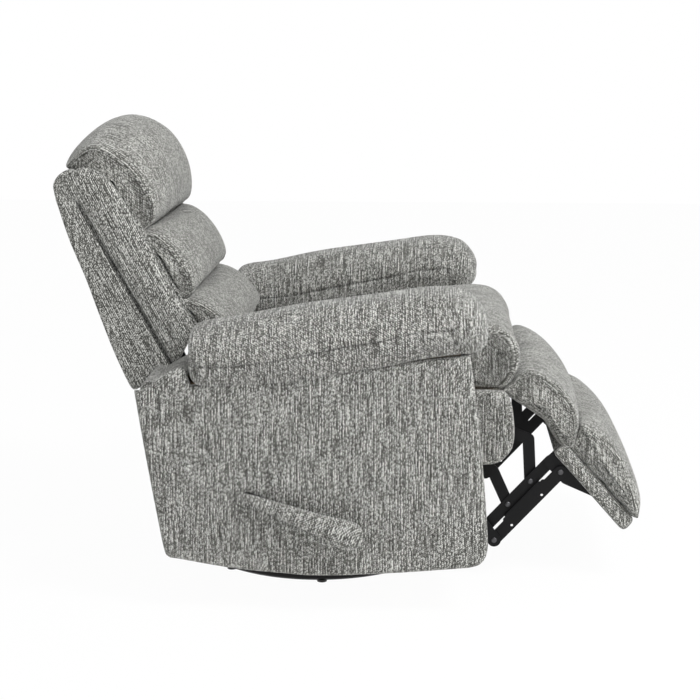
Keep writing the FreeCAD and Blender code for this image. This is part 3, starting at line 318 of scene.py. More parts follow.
# ---------------------------------------------------------------------------
# Cover cloth: light warm grey chenille. Thick tufted yarn, pale and dark ends
# twisted together, woven in upright ribs; the same cloth covers every part.
def knopped_weave_group():
    """Tufted weave on a map in metres: gives a colour, darkened by the painted seam shade, and a height.
    """
    group, ins = new_group("knopped_weave", (
        ("Cloth", "Vector"), ("Width", "Float"), ("Length", "Float"), ("Slant", "Float"),
        ("Irregular", "Float"), ("Contrast", "Float"), ("Dark", "Color"), ("Mid", "Color"),
        ("Pale", "Color")), (("Color", "Color"), ("Height", "Float")))

    def math_node(kind, one, two=0.0, three=0.0, clamp=False):
        return add_node(group, "ShaderNodeMath", ((0, one), (1, two), (2, three)),
                        operation=kind, use_clamp=clamp).outputs[0]

    split = add_node(group, "ShaderNodeSeparateXYZ", ((0, ins["Cloth"]),)).outputs
    column = math_node("DIVIDE", split[0], ins["Width"])
    row = math_node("DIVIDE", split[1], ins["Length"])
    row = math_node("MULTIPLY_ADD", column, ins["Slant"], row)
    cell = add_node(group, "ShaderNodeCombineXYZ", ((0, column), (1, row))).outputs[0]
    tuft = add_node(group, "ShaderNodeTexVoronoi", (
        ("Vector", cell), ("Scale", 1.0), ("Randomness", ins["Irregular"])),
        voronoi_dimensions="2D")
    own = add_node(group, "ShaderNodeSeparateColor", ((0, tuft.outputs["Color"]),)).outputs[0]
    dome = add_node(group, "ShaderNodeMapRange", (
        ("Value", tuft.outputs["Distance"]), ("From Min", 0.60), ("From Max", 0.10)),
        interpolation_type="SMOOTHSTEP").outputs[0]

    def stretched_noise(across, along):
        place = add_node(group, "ShaderNodeVectorMath", (
            (0, ins["Cloth"]), (1, (across, along, 1.0))), operation="MULTIPLY").outputs[0]
        noise = add_node(group, "ShaderNodeTexNoise", (
            ("Vector", place), ("Scale", 1.0), ("Detail", 2.0)), noise_dimensions="2D")
        return math_node("SUBTRACT", noise.outputs[0], 0.5)

    # Loose fibres and upright ribs of the yarn, then the shares of all four in the tone.
    hair = stretched_noise(1500.0, 420.0)
    wale = stretched_noise(310.0, 15.0)
    tone = math_node("MULTIPLY_ADD", dome, 0.42, -0.42)
    tone = math_node("MULTIPLY_ADD", own, 0.27, tone)
    tone = math_node("MULTIPLY_ADD", wale, 0.68, tone)
    tone = math_node("MULTIPLY_ADD", hair, 0.35, tone)
    tone = math_node("MULTIPLY_ADD", tone, ins["Contrast"], 0.5, clamp=True)
    lower = math_node("MULTIPLY", tone, 2.0, clamp=True)
    upper = math_node("MULTIPLY_ADD", tone, 2.0, -1.0, clamp=True)
    first = add_node(group, "ShaderNodeMix", ((0, lower), (6, ins["Dark"]), (7, ins["Mid"])),
                     data_type="RGBA").outputs[2]
    colour = add_node(group, "ShaderNodeMix", ((0, upper), (6, first), (7, ins["Pale"])),
                      data_type="RGBA").outputs[2]
    # Painted shade: the colour is darkened along the seams by the painted seam shade on the points.
    seam = add_node(group, "ShaderNodeAttribute", attribute_name="painted_seam_shade").outputs["Fac"]
    shade = math_node("MULTIPLY_ADD", seam, -0.85, 1.0, clamp=True)
    colour = add_node(group, "ShaderNodeMix", (
        (0, 1.0), (6, colour), (7, shade)), data_type="RGBA", blend_type="MULTIPLY").outputs[2]
    height = math_node("MULTIPLY_ADD", own, 0.25, math_node("MULTIPLY", dome, 0.75))
    height = math_node("MULTIPLY_ADD", hair, 0.2, height)
    height = math_node("MULTIPLY_ADD", wale, 0.5, height)
    add_node(group, "NodeGroupOutput", (("Color", colour), ("Height", height)))
    return group


knopped_weave = knopped_weave_group()


def chenille(name, width, length, slant, irregular, contrast, relief, dark, mid, pale):
    """Cover cloth; width and length are those of one tuft, in metres."""
    material, tree = new_material(name)
    cloth = add_node(tree, "ShaderNodeUVMap", uv_map="Cloth").outputs[0]
    weave = add_node(tree, "ShaderNodeGroup", (
        ("Cloth", cloth), ("Width", width), ("Length", length), ("Slant", slant),
        ("Irregular", irregular), ("Contrast", contrast), ("Dark", dark + (1,)),
        ("Mid", mid + (1,)), ("Pale", pale + (1,))), node_tree=knopped_weave)
    bump = add_node(tree, "ShaderNodeBump", (
        ("Height", weave.outputs["Height"]), ("Strength", 0.8), ("Distance", relief)))
    rough = add_node(tree, "ShaderNodeMapRange", (
        ("Value", weave.outputs["Height"]), ("To Min", 0.98), ("To Max", 0.8)))
    surface(tree, (
        ("Base Color", weave.outputs["Color"]), ("Roughness", rough.outputs[0]),
        ("Normal", bump.outputs[0]), ("Sheen Weight", 0.25), ("Sheen Roughness", 0.5),
        ("Specular IOR Level", 0.2)))
    return material


side_cloth = chenille("chenille_sides", 0.0033, 0.0045, 0.55, 0.45, 2.5, 0.0014,
                      (0.058, 0.058, 0.052), (0.375, 0.377, 0.348), (0.80, 0.80, 0.77))
front_cloth = chenille("chenille_fronts", 0.0033, 0.0046, 0.55, 0.5, 2.0, 0.0012,
                       (0.070, 0.070, 0.063), (0.362, 0.364, 0.336), (0.74, 0.74, 0.71))


def smooth_outline(points, count):
    """Closed smooth line through the points.

    Gives the line as a function of the knot number, count knot numbers at even distances
    along it, and its length.
    """
    knots = np.asarray(points, float)
    number = len(knots)

    def at(where):
        base = np.floor(where).astype(int)
        t = (where - base)[:, None]
        p0, p1, p2, p3 = (knots[(base + step) % number] for step in (-1, 0, 1, 2))
        return 0.5 * (2 * p1 + (p2 - p0) * t + (2 * p0 - 5 * p1 + 4 * p2 - p3) * t ** 2
                      + (3 * p1 - p0 - 3 * p2 + p3) * t ** 3)

    fine = np.linspace(0, number, number * 40 + 1)
    line = at(fine % number)
    run = np.concatenate(([0], np.cumsum(np.hypot(*np.diff(line, axis=0).T))))
    where = np.interp(np.linspace(0, run[-1], count, endpoint=False), run, fine)
    return at, where, run[-1]


def build_mesh(name, verts, faces, uvs):
    """An object from points, faces and the cloth map of every face corner."""
    mesh = bpy.data.meshes.new(name)
    mesh.from_pydata([tuple(v) for v in verts], [], faces)
    layer = mesh.uv_layers.new(name="Cloth")
    layer.data.foreach_set("uv", np.asarray(uvs, np.float32).ravel())
    mesh.validate()
    piece = bpy.data.objects.new(name, mesh)
    scene.collection.objects.link(piece)
    return piece


def only(piece):
    """Makes the piece the one selected and active object."""
    bpy.ops.object.select_all(action="DESELECT")
    piece.select_set(True)
    bpy.context.view_layer.objects.active = piece


def points_of(piece, what="co"):
    """Where the points of a piece are, or with "normal" which way they face."""
    flat = np.empty(len(piece.data.vertices) * 3, np.float32)
    piece.data.vertices.foreach_get(what, flat)
    return flat.reshape(-1, 3).astype(float)


def put_points(piece, spots):
    """Moves the points of a piece to new places."""
    piece.data.vertices.foreach_set("co", spots.astype(np.float32).ravel())


def face_out(piece):
    """Turns the faces of a closed piece outwards."""
    only(piece)
    bpy.ops.object.mode_set(mode="EDIT")
    bpy.ops.mesh.select_all(action="SELECT")
    bpy.ops.mesh.normals_make_consistent(inside=False)
    bpy.ops.object.mode_set(mode="OBJECT")


def stuff(piece, held, pressure, slack, cap):
    """Fills a sewn cover: cloth under pressure, held at its seams, moved by no more than cap."""
    frames = 20
    only(piece)
    start = points_of(piece)
    group = piece.vertex_groups.new(name="seams")
    for weight in sorted(set(np.round(held, 2))):
        if weight > 0:
            spots = [int(i) for i in np.nonzero(np.round(held, 2) == weight)[0]]
            group.add(spots, float(weight), "REPLACE")
    bpy.ops.object.modifier_add(type="CLOTH")
    cloth = piece.modifiers[-1]
    wish = cloth.settings
    wish.quality = 4
    wish.mass = 0.25
    wish.tension_stiffness = 12
    wish.compression_stiffness = 12
    wish.shear_stiffness = 4
    wish.bending_stiffness = 0.4
    wish.use_pressure = True
    wish.uniform_pressure_force = pressure
    wish.vertex_group_mass = "seams"
    wish.shrink_min = -slack
    wish.effector_weights.gravity = 0
    cloth.point_cache.frame_end = frames
    for number in range(1, frames + 1):
        scene.frame_set(number)
    only(piece)
    bpy.ops.object.modifier_apply(modifier=cloth.name)
    scene.frame_set(1)
    move = points_of(piece) - start
    length = np.linalg.norm(move, axis=1)
    limit = cap * np.tanh(length / cap)
    move *= (limit / np.maximum(length, 1e-9))[:, None]
    put_points(piece, start + move)
    piece.vertex_groups.clear()


def sew(piece, seams):
    """Pulls seams into a soft piece and paints shade along them. Each is (measure, width, depth, dark,
    pucker); dark is the strength of the painted seam shade.
    """
    short_pucker, long_pucker = 0.017, 0.041
    drag, shadow = 4.5, 0.55        # reach of the puckers and of the painted seam shade, in seam widths
    spots, facing = points_of(piece), points_of(piece, "normal")
    shade, sunk = np.zeros(len(spots)), np.zeros(len(spots))
    turns = spots[:, 1] * 2 * math.pi
    wave = np.sin(turns / short_pucker) * np.sin(turns / long_pucker)
    for measure, width, depth, dark, pucker in seams:
        away = measure(spots)
        pull = np.exp(-(away / width) ** 2)
        wide = np.exp(-(away / (width * drag)) ** 2)
        sunk = np.maximum(sunk, pull * depth + wide * depth * pucker * (0.5 + 0.5 * wave))
        # Painted shade: a dark line along each seam, kept on the points for the cloth to darken its
        # colour.
        shade = np.maximum(shade, dark * np.exp(-(away / (width * shadow)) ** 2))
    spots -= facing * sunk[:, None]
    put_points(piece, spots)
    painted_shade_layer = piece.data.attributes.new(name="painted_seam_shade", type="FLOAT", domain="POINT")
    painted_shade_layer.data.foreach_set("value", shade.astype(np.float32))
    piece.data.update()


def close_up(piece, material, body, nodes, levels=1, seams=()):
    """Last steps of a soft piece: finer faces, seams, shading, cloth, place in the frame."""
    only(piece)
    if levels:
        bpy.ops.object.modifier_add(type="SUBSURF")
        finer = piece.modifiers[-1]
        finer.levels = levels
        finer.render_levels = levels
        bpy.ops.object.modifier_apply(modifier=finer.name)
    if seams:
        sew(piece, seams)
    bpy.ops.object.shade_smooth()
    piece.data.materials.append(material)
    if body:
        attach(piece, body)
    if nodes:
        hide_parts(*nodes)


def stuffed_roll(name, middle, side, half, shoulder, bulge, slices=50):
    """A stuffed tube across the chair, from its outline at the middle and at its sewn ends.

    The outlines are (forward, up) in millimetres, point for point. Returns the piece and
    how firmly each of its points is held by a seam.
    """
    spacing = 0.008         # of the points around the tube
    crown = 2.4             # how far the full middle reaches towards the ends
    roundness = 0.62        # of the shoulders, 1 for a quarter circle
    fullness = 2.2          # of the end panels
    welt = 0.0022           # depth of the groove behind an end seam
    end_hold = 0.75         # how firmly the end panels keep their place
    crowding = 0.28         # of the slices towards the ends
    rings = 7               # of points in an end panel
    middle, side = np.asarray(middle, float) / 1000, np.asarray(side, float) / 1000
    rows = int(smooth_outline(middle, 8)[2] / spacing)
    at, where, girth = smooth_outline(middle, rows)
    mid_line = at(where)
    end_line = smooth_outline(side, 8)[0](where)
    ahead, behind = np.roll(end_line, -1, 0), np.roll(end_line, 1, 0)
    tangent = ahead - behind
    tangent /= np.linalg.norm(tangent, axis=1)[:, None]
    area = 0.5 * np.sum(end_line[:, 0] * ahead[:, 1] - ahead[:, 0] * end_line[:, 1])
    inward = np.stack([-tangent[:, 1], tangent[:, 0]], 1) * (1 if area > 0 else -1)
    steps = np.linspace(-1, 1, slices)
    across = half * ((1 + crowding) * steps - crowding * steps ** 3)
    verts, held = [], []
    for x in across:
        line = end_line + (mid_line - end_line) * (1 - (abs(x) / half) ** crown)
        deep = max(0.0, (abs(x) - (half - shoulder)) / shoulder)
        line = line + inward * shoulder * (1 - math.sqrt(max(0.0, 1 - deep ** 2))) * roundness
        for row in range(rows):
            verts.append((x, -line[row, 0], line[row, 1]))
            held.append(1.0 if deep > 0.999 else 0.0)
    faces, uvs = [], []
    for one in range(slices - 1):
        for row in range(rows):
            nxt = (row + 1) % rows
            faces.append((one * rows + row, one * rows + nxt,
                          (one + 1) * rows + nxt, (one + 1) * rows + row))
            low, high = girth * row / rows, girth * (row + 1) / rows
            uvs += [(across[one], low), (across[one], high),
                    (across[one + 1], high), (across[one + 1], low)]
    for end, first in ((-1, 0), (1, slices - 1)):
        ring = np.array([verts[first * rows + row] for row in range(rows)])
        centre = ring.mean(0)
        last = [first * rows + row for row in range(rows)]
        for step in range(1, rings):
            part = 1 - step / rings
            lift = -welt if step == 1 else bulge * (1 - part ** fullness)
            now = centre + (ring - centre) * part
            now[:, 0] = centre[0] + end * lift
            base = len(verts)
            verts += [tuple(p) for p in now]
            held += [1.0 if step == 1 else end_hold] * rows
            for row in range(rows):
                nxt = (row + 1) % rows
                quad = (last[row], last[nxt], base + nxt, base + row)
                faces.append(quad)
                uvs += [(-verts[i][1], verts[i][2]) for i in quad]
            last = [base + row for row in range(rows)]
        tip = len(verts)
        verts.append((centre[0] + end * bulge, centre[1], centre[2]))
        held.append(end_hold)
        for row in range(rows):
            fan = (last[row], last[(row + 1) % rows], tip)
            faces.append(fan)
            uvs += [(-verts[i][1], verts[i][2]) for i in fan]
    piece = build_mesh(name, verts, faces, uvs)
    face_out(piece)
    return piece, np.array(held)


def at_ends(half):
    """Gives the distance of points from the two end seams of a roll."""
    return lambda places: np.abs(np.abs(places[:, 0]) - half)


# ---------------------------------------------------------------------------
# Three stuffed pillows of the back: head, middle and lumbar. Each is a fibre
# filled tube sewn to the back's lining and closed by a gathered end panel.
head_middle = [(-368, 777), (-335, 792), (-321, 814), (-316, 845), (-315, 874), (-322, 906),
               (-336, 937), (-358, 966), (-389, 987), (-420, 998), (-451, 999), (-480, 985),
               (-508, 962), (-530, 938), (-541, 919), (-538, 907), (-521, 903), (-480, 908),
               (-426, 893), (-402, 836)]
head_side = [(-372, 776), (-348, 783), (-338, 800), (-339, 822), (-347, 848), (-361, 873),
             (-379, 897), (-400, 917), (-424, 934), (-449, 947), (-470, 949), (-488, 941),
             (-503, 930), (-515, 919), (-521, 911), (-518, 905), (-503, 903), (-470, 903),
             (-424, 886), (-403, 834)]
middle_middle = [(-289, 629), (-253, 634), (-242, 654), (-243, 681), (-252, 711), (-268, 739),
                 (-291, 765), (-320, 781), (-345, 781), (-368, 773), (-330, 700)]
middle_side = [(-290, 629), (-264, 632), (-257, 645), (-260, 665), (-272, 691), (-289, 718),
               (-311, 744), (-334, 763), (-352, 771), (-369, 772), (-330, 700)]
lumbar_middle = [(-243, 545), (-205, 527), (-168, 521), (-156, 533), (-161, 556), (-177, 582),
                 (-200, 607), (-229, 624), (-262, 629), (-290, 626), (-268, 588)]
lumbar_side = [(-244, 545), (-208, 530), (-178, 526), (-169, 535), (-176, 553), (-192, 574),
               (-213, 595), (-238, 612), (-265, 622), (-290, 625), (-268, 588)]
# Each pillow's end seams get painted shade, a dark line along the seam.
for word, middle, side in (("head", head_middle, head_side),
                           ("middle", middle_middle, middle_side),
                           ("lumbar", lumbar_middle, lumbar_side)):
    pillow, held = stuffed_roll(word + "_pillow_cover", middle, side, 0.250, 0.016, 0.004)
    stuff(pillow, held, 3.0, 0.03, 0.008)
    close_up(pillow, front_cloth, "back", [word + "_pillow"],
             seams=[(at_ends(0.250), 0.003, 0.002, 0.45, 0.2)])


# Lining that the pillows are sewn to, between the side borders.
def thin_cover(name, line, half, shoulder, bulge, body, nodes, slices=40, across=0.0):
    """Cloth over a board, of one section across the chair, with its middle at across."""
    cover, _ = stuffed_roll(name, line, line, half, shoulder, bulge, slices)
    spots = points_of(cover)
    spots[:, 0] += across
    put_points(cover, spots)
    close_up(cover, side_cloth, body, nodes)


lining_line = [(-234, 546), (-281, 630), (-359, 776), (-394, 840), (-450, 903), (-462, 903),
               (-405, 836), (-370, 772), (-292, 626), (-245, 541)]
thin_cover("pillow_lining_cover", lining_line, 0.254, 0.003, 0.001, "back", [])


# ---------------------------------------------------------------------------
# Seat cushion: one foam and fibre cushion with a full front roll, sewn in
# behind, with boxed sides between the arms.
def line_distance(places, line):
    """Distance of each point from a line drawn in side view as (forward, up), in metres."""
    flat = np.stack([-places[:, 1], places[:, 2]], 1)
    best = np.full(len(flat), 1.0)
    for one, two in zip(line, line[1:]):
        run = two - one
        share = np.clip(((flat - one) @ run) / max(run @ run, 1e-12), 0, 1)
        near = one + share[:, None] * run
        best = np.minimum(best, np.hypot(*(flat - near).T))
    return best


def from_line(line, side_only=0.0):
    """Gives the distance of points from a seam drawn in side view, in millimetres.

    With side_only, points nearer than that to the middle of the chair are left out.
    """
    drawn = np.asarray(line, float) / 1000

    def measure(places):
        best = line_distance(places, drawn)
        best[np.abs(places[:, 0]) < side_only] = 1.0
        return best
    return measure


seat_middle = [(-196, 436), (100, 432), (382, 431), (424, 438), (447, 464), (454, 498),
               (452, 530), (438, 559), (408, 578), (350, 583), (250, 575), (120, 556),
               (0, 537), (-120, 518), (-188, 505), (-203, 470)]
seat_side = [(-196, 436), (100, 433), (380, 432), (418, 438), (440, 464), (448, 496),
             (446, 522), (432, 553), (402, 569), (345, 572), (250, 562), (120, 542),
             (0, 522), (-120, 505), (-186, 493), (-200, 466)]
seat, held = stuffed_roll("seat_cover", seat_middle, seat_side, 0.262, 0.020, 0.006, slices=56)
stuff(seat, held, 3.0, 0.02, 0.008)
seat_tuck = from_line([(398, 530), (412, 515), (425, 492), (434, 468)], 0.250)
# Painted shade darkens the end seams and the tuck at the front.
close_up(seat, front_cloth, "seat_unit", ["seat_cushion"],
         seams=[(at_ends(0.262), 0.004, 0.002, 0.35, 0.5), (seat_tuck, 0.0035, 0.004, 0.8, 0.4)])


# Padded cover of the front rail, below the seat roll, and of the rail's wider top.
rail_middle = [(406, 273), (421, 275), (434, 292), (441, 322), (443, 358), (438, 396),
               (426, 424), (407, 430)]
rail_side = [(406, 280), (415, 281), (425, 296), (430, 323), (432, 356), (428, 390),
             (418, 418), (407, 426)]
rail, held = stuffed_roll("front_rail_cover", rail_middle, rail_side, 0.223, 0.012, 0.003, slices=40)
stuff(rail, held, 2.0, 0.01, 0.004)
close_up(rail, side_cloth, "seat_unit", ["front_rail_pad"])
ledge_middle = [(405, 380), (420, 379), (431, 384), (434, 402), (429, 422), (418, 431), (405, 431)]
ledge_side = [(405, 381), (418, 380), (428, 385), (431, 402), (427, 421), (417, 430), (405, 430)]
ledge, _ = stuffed_roll("front_ledge_cover", ledge_middle, ledge_side, 0.283, 0.006, 0.001, slices=40)
close_up(ledge, side_cloth, "seat_unit", [])


# Padded ends of the front rail, between the rail and the arms.
def lay_cloth(piece, turn=0.0):
    """Maps the cloth in metres on each face from the side it faces."""
    mesh = piece.data
    of_loop = np.empty(len(mesh.loops), int)
    mesh.loops.foreach_get("vertex_index", of_loop)
    normals = np.empty(len(mesh.polygons) * 3)
    mesh.polygons.foreach_get("normal", normals)
    normals = np.abs(normals.reshape(-1, 3))
    sizes = np.empty(len(mesh.polygons), int)
    mesh.polygons.foreach_get("loop_total", sizes)
    facing = np.repeat(np.argmax(normals, 1), sizes)
    co = points_of(piece)[of_loop]
    uv = np.where((facing == 0)[:, None], co[:, [1, 2]],
                  np.where((facing == 1)[:, None], co[:, [0, 2]], co[:, [0, 1]]))
    cos, sin = math.cos(turn), math.sin(turn)
    uv = np.stack([uv[:, 0] * cos - uv[:, 1] * sin, uv[:, 0] * sin + uv[:, 1] * cos], 1)
    layer = mesh.uv_layers.new(name="Cloth")
    layer.data.foreach_set("uv", uv.astype(np.float32).ravel())


def wadded_panel(name, outline, inner, outer, side, soft, puff, turn=0.0):
    """A panel in side view between two distances from the middle, with soft edges."""
    spacing = 0.012         # of the points along the outline
    voxel = 0.0045          # size of the panel's faces
    thin = 0.25             # share of the thickness that is left at the edge
    slope = 0.05            # how far in the panel is full
    drawn = np.asarray(outline, float) / 1000
    count = max(80, int(smooth_outline(drawn, 8)[2] / spacing))
    at, where, _ = smooth_outline(drawn, count)
    line = at(where)
    shape = bmesh.new()
    ring = [shape.verts.new((inner, -p[0], p[1])) for p in line]
    shape.faces.new(ring)
    done = bmesh.ops.extrude_face_region(shape, geom=shape.faces[:])
    moved = [v for v in done["geom"] if isinstance(v, bmesh.types.BMVert)]
    bmesh.ops.translate(shape, verts=moved, vec=(outer - inner, 0, 0))
    bmesh.ops.recalc_face_normals(shape, faces=shape.faces[:])
    mesh = bpy.data.meshes.new(name)
    shape.to_mesh(mesh)
    shape.free()
    piece = bpy.data.objects.new(name, mesh)
    scene.collection.objects.link(piece)
    only(piece)
    piece.data.remesh_voxel_size = voxel
    bpy.ops.object.voxel_remesh()
    spots = points_of(piece)
    deep = line_distance(spots, np.vstack((line, line[:1])))
    middle, thick = (inner + outer) / 2, (outer - inner) / 2
    rise = np.sqrt(1 - (1 - np.clip(deep / soft, 0, 1)) ** 2)
    crown = 1 - np.exp(-deep / slope)
    away = (spots[:, 0] - middle) / thick
    out = np.clip(away, 0, None)
    spots[:, 0] = middle + away * thick * (thin + (1 - thin) * rise) + out * puff * crown
    spots[:, 0] *= side
    put_points(piece, spots)
    face_out(piece)
    bpy.ops.object.modifier_add(type="SMOOTH")
    piece.modifiers[-1].factor = 0.5
    piece.modifiers[-1].iterations = 3
    bpy.ops.object.modifier_apply(modifier=piece.modifiers[-1].name)
    lay_cloth(piece, turn)
    return piece


rail_end = [(338, 438), (338, 438), (400, 438), (418, 435), (429, 419), (436, 395), (441, 347),
            (438, 315), (428, 295), (412, 280), (390, 272), (338, 271), (338, 271), (338, 350)]
for word, side in sides:
    flap = wadded_panel("rail_end_cover_" + word, rail_end, 0.2615, 0.2875, side, 0.009, 0.003)
    close_up(flap, side_cloth, "seat_unit", [], levels=0)


# ---------------------------------------------------------------------------
# Chaise pad and footrest pad: the stuffed steps that carry the legs. The first
# bridges the gap and bends as the footrest lifts, the second lies on the board.
chaise_middle = [(413, 428), (440, 414), (467, 396), (490, 380), (514, 360), (533, 330),
                 (545, 312), (560, 303), (575, 312), (583, 337), (586, 364), (582, 388),
                 (572, 411), (554, 435), (530, 458), (499, 477), (470, 483), (448, 466),
                 (437, 446), (418, 433)]
chaise_side = [(413, 428), (440, 414), (467, 396), (490, 380), (514, 360), (533, 330),
               (545, 312), (559, 303), (571, 308), (577, 334), (579, 361), (574, 384),
               (563, 405), (546, 427), (524, 449), (493, 469), (468, 474), (449, 460),
               (438, 443), (418, 433)]
chaise, held = stuffed_roll("chaise_cover", chaise_middle, chaise_side, 0.258, 0.018, 0.005)
stuff(chaise, held, 3.0, 0.03, 0.008)
# Painted shade darkens its end seams.
close_up(chaise, front_cloth, None, ["chaise_pad"],
         seams=[(at_ends(0.258), 0.004, 0.002, 0.3, 0.4)])
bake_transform(chaise)

# The board's rear corner as (forward, up), and the cosine and sine of its fall.
rest_corner = (530.0, 290.0)
rest_slope = (0.6860, 0.7276)


def on_rest(places):
    """Turns (along, above) on the footrest board into (forward, up), in millimetres."""
    return [(rest_corner[0] + along * rest_slope[0] + above * rest_slope[1],
             rest_corner[1] - along * rest_slope[1] + above * rest_slope[0])
            for along, above in places]


foot_middle = on_rest([(20, 36), (11, 50), (3, 66), (-8, 80), (-15, 93), (6, 105), (52, 112),
                       (84, 113), (115, 106), (157, 92), (203, 72), (235, 50), (232, 33), (110, 33)])
foot_side = on_rest([(20, 36), (12, 50), (4, 65), (-6, 78), (-12, 88), (8, 97), (52, 103),
                     (84, 102), (112, 98), (155, 84), (198, 66), (227, 48), (226, 32), (110, 33)])
foot, held = stuffed_roll("footrest_cover", foot_middle, foot_side, 0.260, 0.018, 0.005)
stuff(foot, held, 3.0, 0.03, 0.008)
piping = from_line(on_rest([(16, 50), (60, 58), (110, 60), (160, 56), (220, 44)]), 0.245)
# Painted shade darkens the end seams and the piping.
close_up(foot, front_cloth, "footrest", ["footrest_pad"],
         seams=[(at_ends(0.260), 0.004, 0.002, 0.3, 0.4), (piping, 0.0025, 0.003, 0.6, 0.2)])

board_line = on_rest([(2, -1), (60, -2), (120, -4), (180, -6), (226, -7), (234, -1), (235, 10),
                      (232, 22), (225, 29), (180, 30), (120, 32), (60, 34), (3, 35), (-2, 29),
                      (-3, 15), (-2, 3)])
thin_cover("footrest_board_cover", board_line, 0.257, 0.008, 0.002, "footrest", ["footrest_board"])


# ---------------------------------------------------------------------------
# Arm pads: stuffed sleeves over the arms. Two long seams run along each side,
# the ends are gathered, and the nose is full and round.
def close_tube(verts, count, run, girth):
    """Faces and cloth map of a tube through rings of count points, with a fan over each end.

    run says how far along the cloth each ring lies. The tips of the fans are added to verts.
    """
    faces, uvs = [], []
    for number in range(len(run) - 1):
        for spot in range(count):
            nxt = (spot + 1) % count
            faces.append((number * count + spot, number * count + nxt,
                          (number + 1) * count + nxt, (number + 1) * count + spot))
            one, two = girth * spot / count, girth * (spot + 1) / count
            uvs += [(run[number], one), (run[number], two),
                    (run[number + 1], two), (run[number + 1], one)]
    for number in (0, len(run) - 1):
        ring = range(number * count, (number + 1) * count)
        tip = len(verts)
        verts.append(tuple(np.mean([verts[i] for i in ring], axis=0)))
        for spot in range(count):
            faces.append((ring[spot], ring[(spot + 1) % count], tip))
            uvs += [(run[number], girth * spot / count)] * 3
    return faces, uvs


def arm_pad_cover(word, side):
    """One arm pad, lofted from rear to nose, and how firmly its points are held."""
    #        forward  lower  mid   top   narrow
    rings = [(-236, 540, 546, 556, 0.30), (-239, 528, 545, 568, 0.42), (-238, 510, 541, 582, 0.66),
             (-231, 494, 536, 592, 0.84), (-218, 485, 531, 598, 0.95), (-195, 484, 529, 603, 1.0),
             (-150, 486, 529, 607, 1.0), (-93, 490, 537, 620, 1.0), (-10, 498, 552, 637, 1.0),
             (90, 517, 574, 650, 1.0), (180, 532, 589, 663, 1.0), (240, 548, 601, 674, 1.0),
             (285, 554, 608, 677, 1.0), (316, 557, 611, 672, 0.98), (338, 558, 611, 664, 0.94),
             (354, 560, 610, 646, 0.85), (366, 566, 607, 630, 0.70), (373, 577, 603, 617, 0.46),
             (374, 588, 601, 609, 0.28)]
    count, girth, centre = 72, 0.56, 0.387
    seam_reach, gather_depth, gather_turn = 0.004, 0.0016, 1.9
    verts, held, run = [], [], [0.0]
    for one, two in zip(rings, rings[1:]):
        run.append(run[-1] + math.hypot(two[0] - one[0], (two[3] - one[3]) * 0.5) / 1000)
    for number, (forward, lower, mid, top, narrow) in enumerate(rings):
        low, seam, high = lower / 1000, mid / 1000, top / 1000
        tall = high - seam
        section = [(0.300, low + 0.003), (0.345, low), (0.430, low), (0.470, low + 0.001),
                   (0.484, low + 0.4 * (seam - low)), (0.487, seam), (0.482, seam + 0.30 * tall),
                   (0.462, seam + 0.68 * tall), (0.425, seam + 0.93 * tall), (0.385, high),
                   (0.340, seam + 0.93 * tall), (0.306, seam + 0.68 * tall),
                   (0.292, seam + 0.30 * tall), (0.289, seam), (0.290, low + 0.4 * (seam - low))]
        at, where, _ = smooth_outline(section, count)
        line = at(where)
        line[:, 0] = centre + (line[:, 0] - centre) * narrow
        for spot in range(count):
            x, z = line[spot]
            gather = gather_depth * (1.0 - narrow) * math.sin(spot * gather_turn)
            verts.append((side * x, -(forward / 1000 + gather * 0.5), z + gather))
            low_side = z < low + seam_reach
            near_seam = abs(z - seam) < seam_reach and abs(x - centre) > 0.09 * narrow
            end = number in (0, len(rings) - 1)
            held.append(1.0 if (low_side or near_seam or end) else 0.0)
    faces, uvs = close_tube(verts, count, run, girth)
    held += [1.0, 1.0]
    pad = build_mesh("arm_pad_cover_" + word, verts, faces, uvs)
    face_out(pad)
    return pad, np.array(held)


# Each seam also gets painted shade, a dark line along it.
pad_seams = [
    (from_line([(-226, 531), (-205, 528), (-157, 528), (-71, 540), (20, 558), (95, 575),
                (154, 585), (225, 604), (299, 610)]), 0.0035, 0.0035, 0.55, 0.5),
    (from_line([(296, 630), (299, 610), (305, 588), (313, 566)]), 0.004, 0.005, 0.75, 0.3),
    (from_line([(-214, 524), (-220, 506)]), 0.003, 0.005, 0.8, 0.4)]
for word, side in sides:
    pad, held = arm_pad_cover(word, side)
    stuff(pad, held, 3.0, 0.02, 0.006)
    close_up(pad, side_cloth, "seat_unit", ["arm_pad_" + word], levels=2,
             seams=pad_seams)


# ---------------------------------------------------------------------------
# Flat covers: side panels, arm fronts, back sides and backs. Cloth over thin
# wadding on a board, so they are near flat with soft edges.
outer_line = [(-348, 473), (-348, 473), (-335, 379), (-321, 286), (-308, 205), (-295, 130),
              (-286, 115), (-262, 111), (-158, 94), (-60, 85), (33, 80), (177, 88), (300, 99), (350, 105),
              (371, 118), (380, 149), (376, 216), (369, 297), (355, 423), (337, 556), (337, 556),
              (295, 552), (180, 537), (0, 513), (-120, 498), (-232, 487), (-232, 487),
              (-245, 523), (-256, 522), (-274, 515), (-301, 498), (-325, 478)]
inner_line = [(-280, 130), (0, 127), (340, 127), (352, 135), (366, 300), (337, 556), (337, 556),
              (180, 536), (0, 512), (-232, 486), (-232, 486), (-284, 468), (-305, 412), (-292, 250)]
for word, side in sides:
    panel = wadded_panel("side_panel_cover_" + word, outer_line, 0.448, 0.4705, side, 0.012, 0.003)
    close_up(panel, side_cloth, "seat_unit", ["outer_panel_" + word], levels=0)
    panel = wadded_panel("inner_panel_cover_" + word, inner_line, -0.305, -0.2855, -side, 0.010, 0.0)
    close_up(panel, side_cloth, "seat_unit", ["inner_panel_" + word], levels=0)


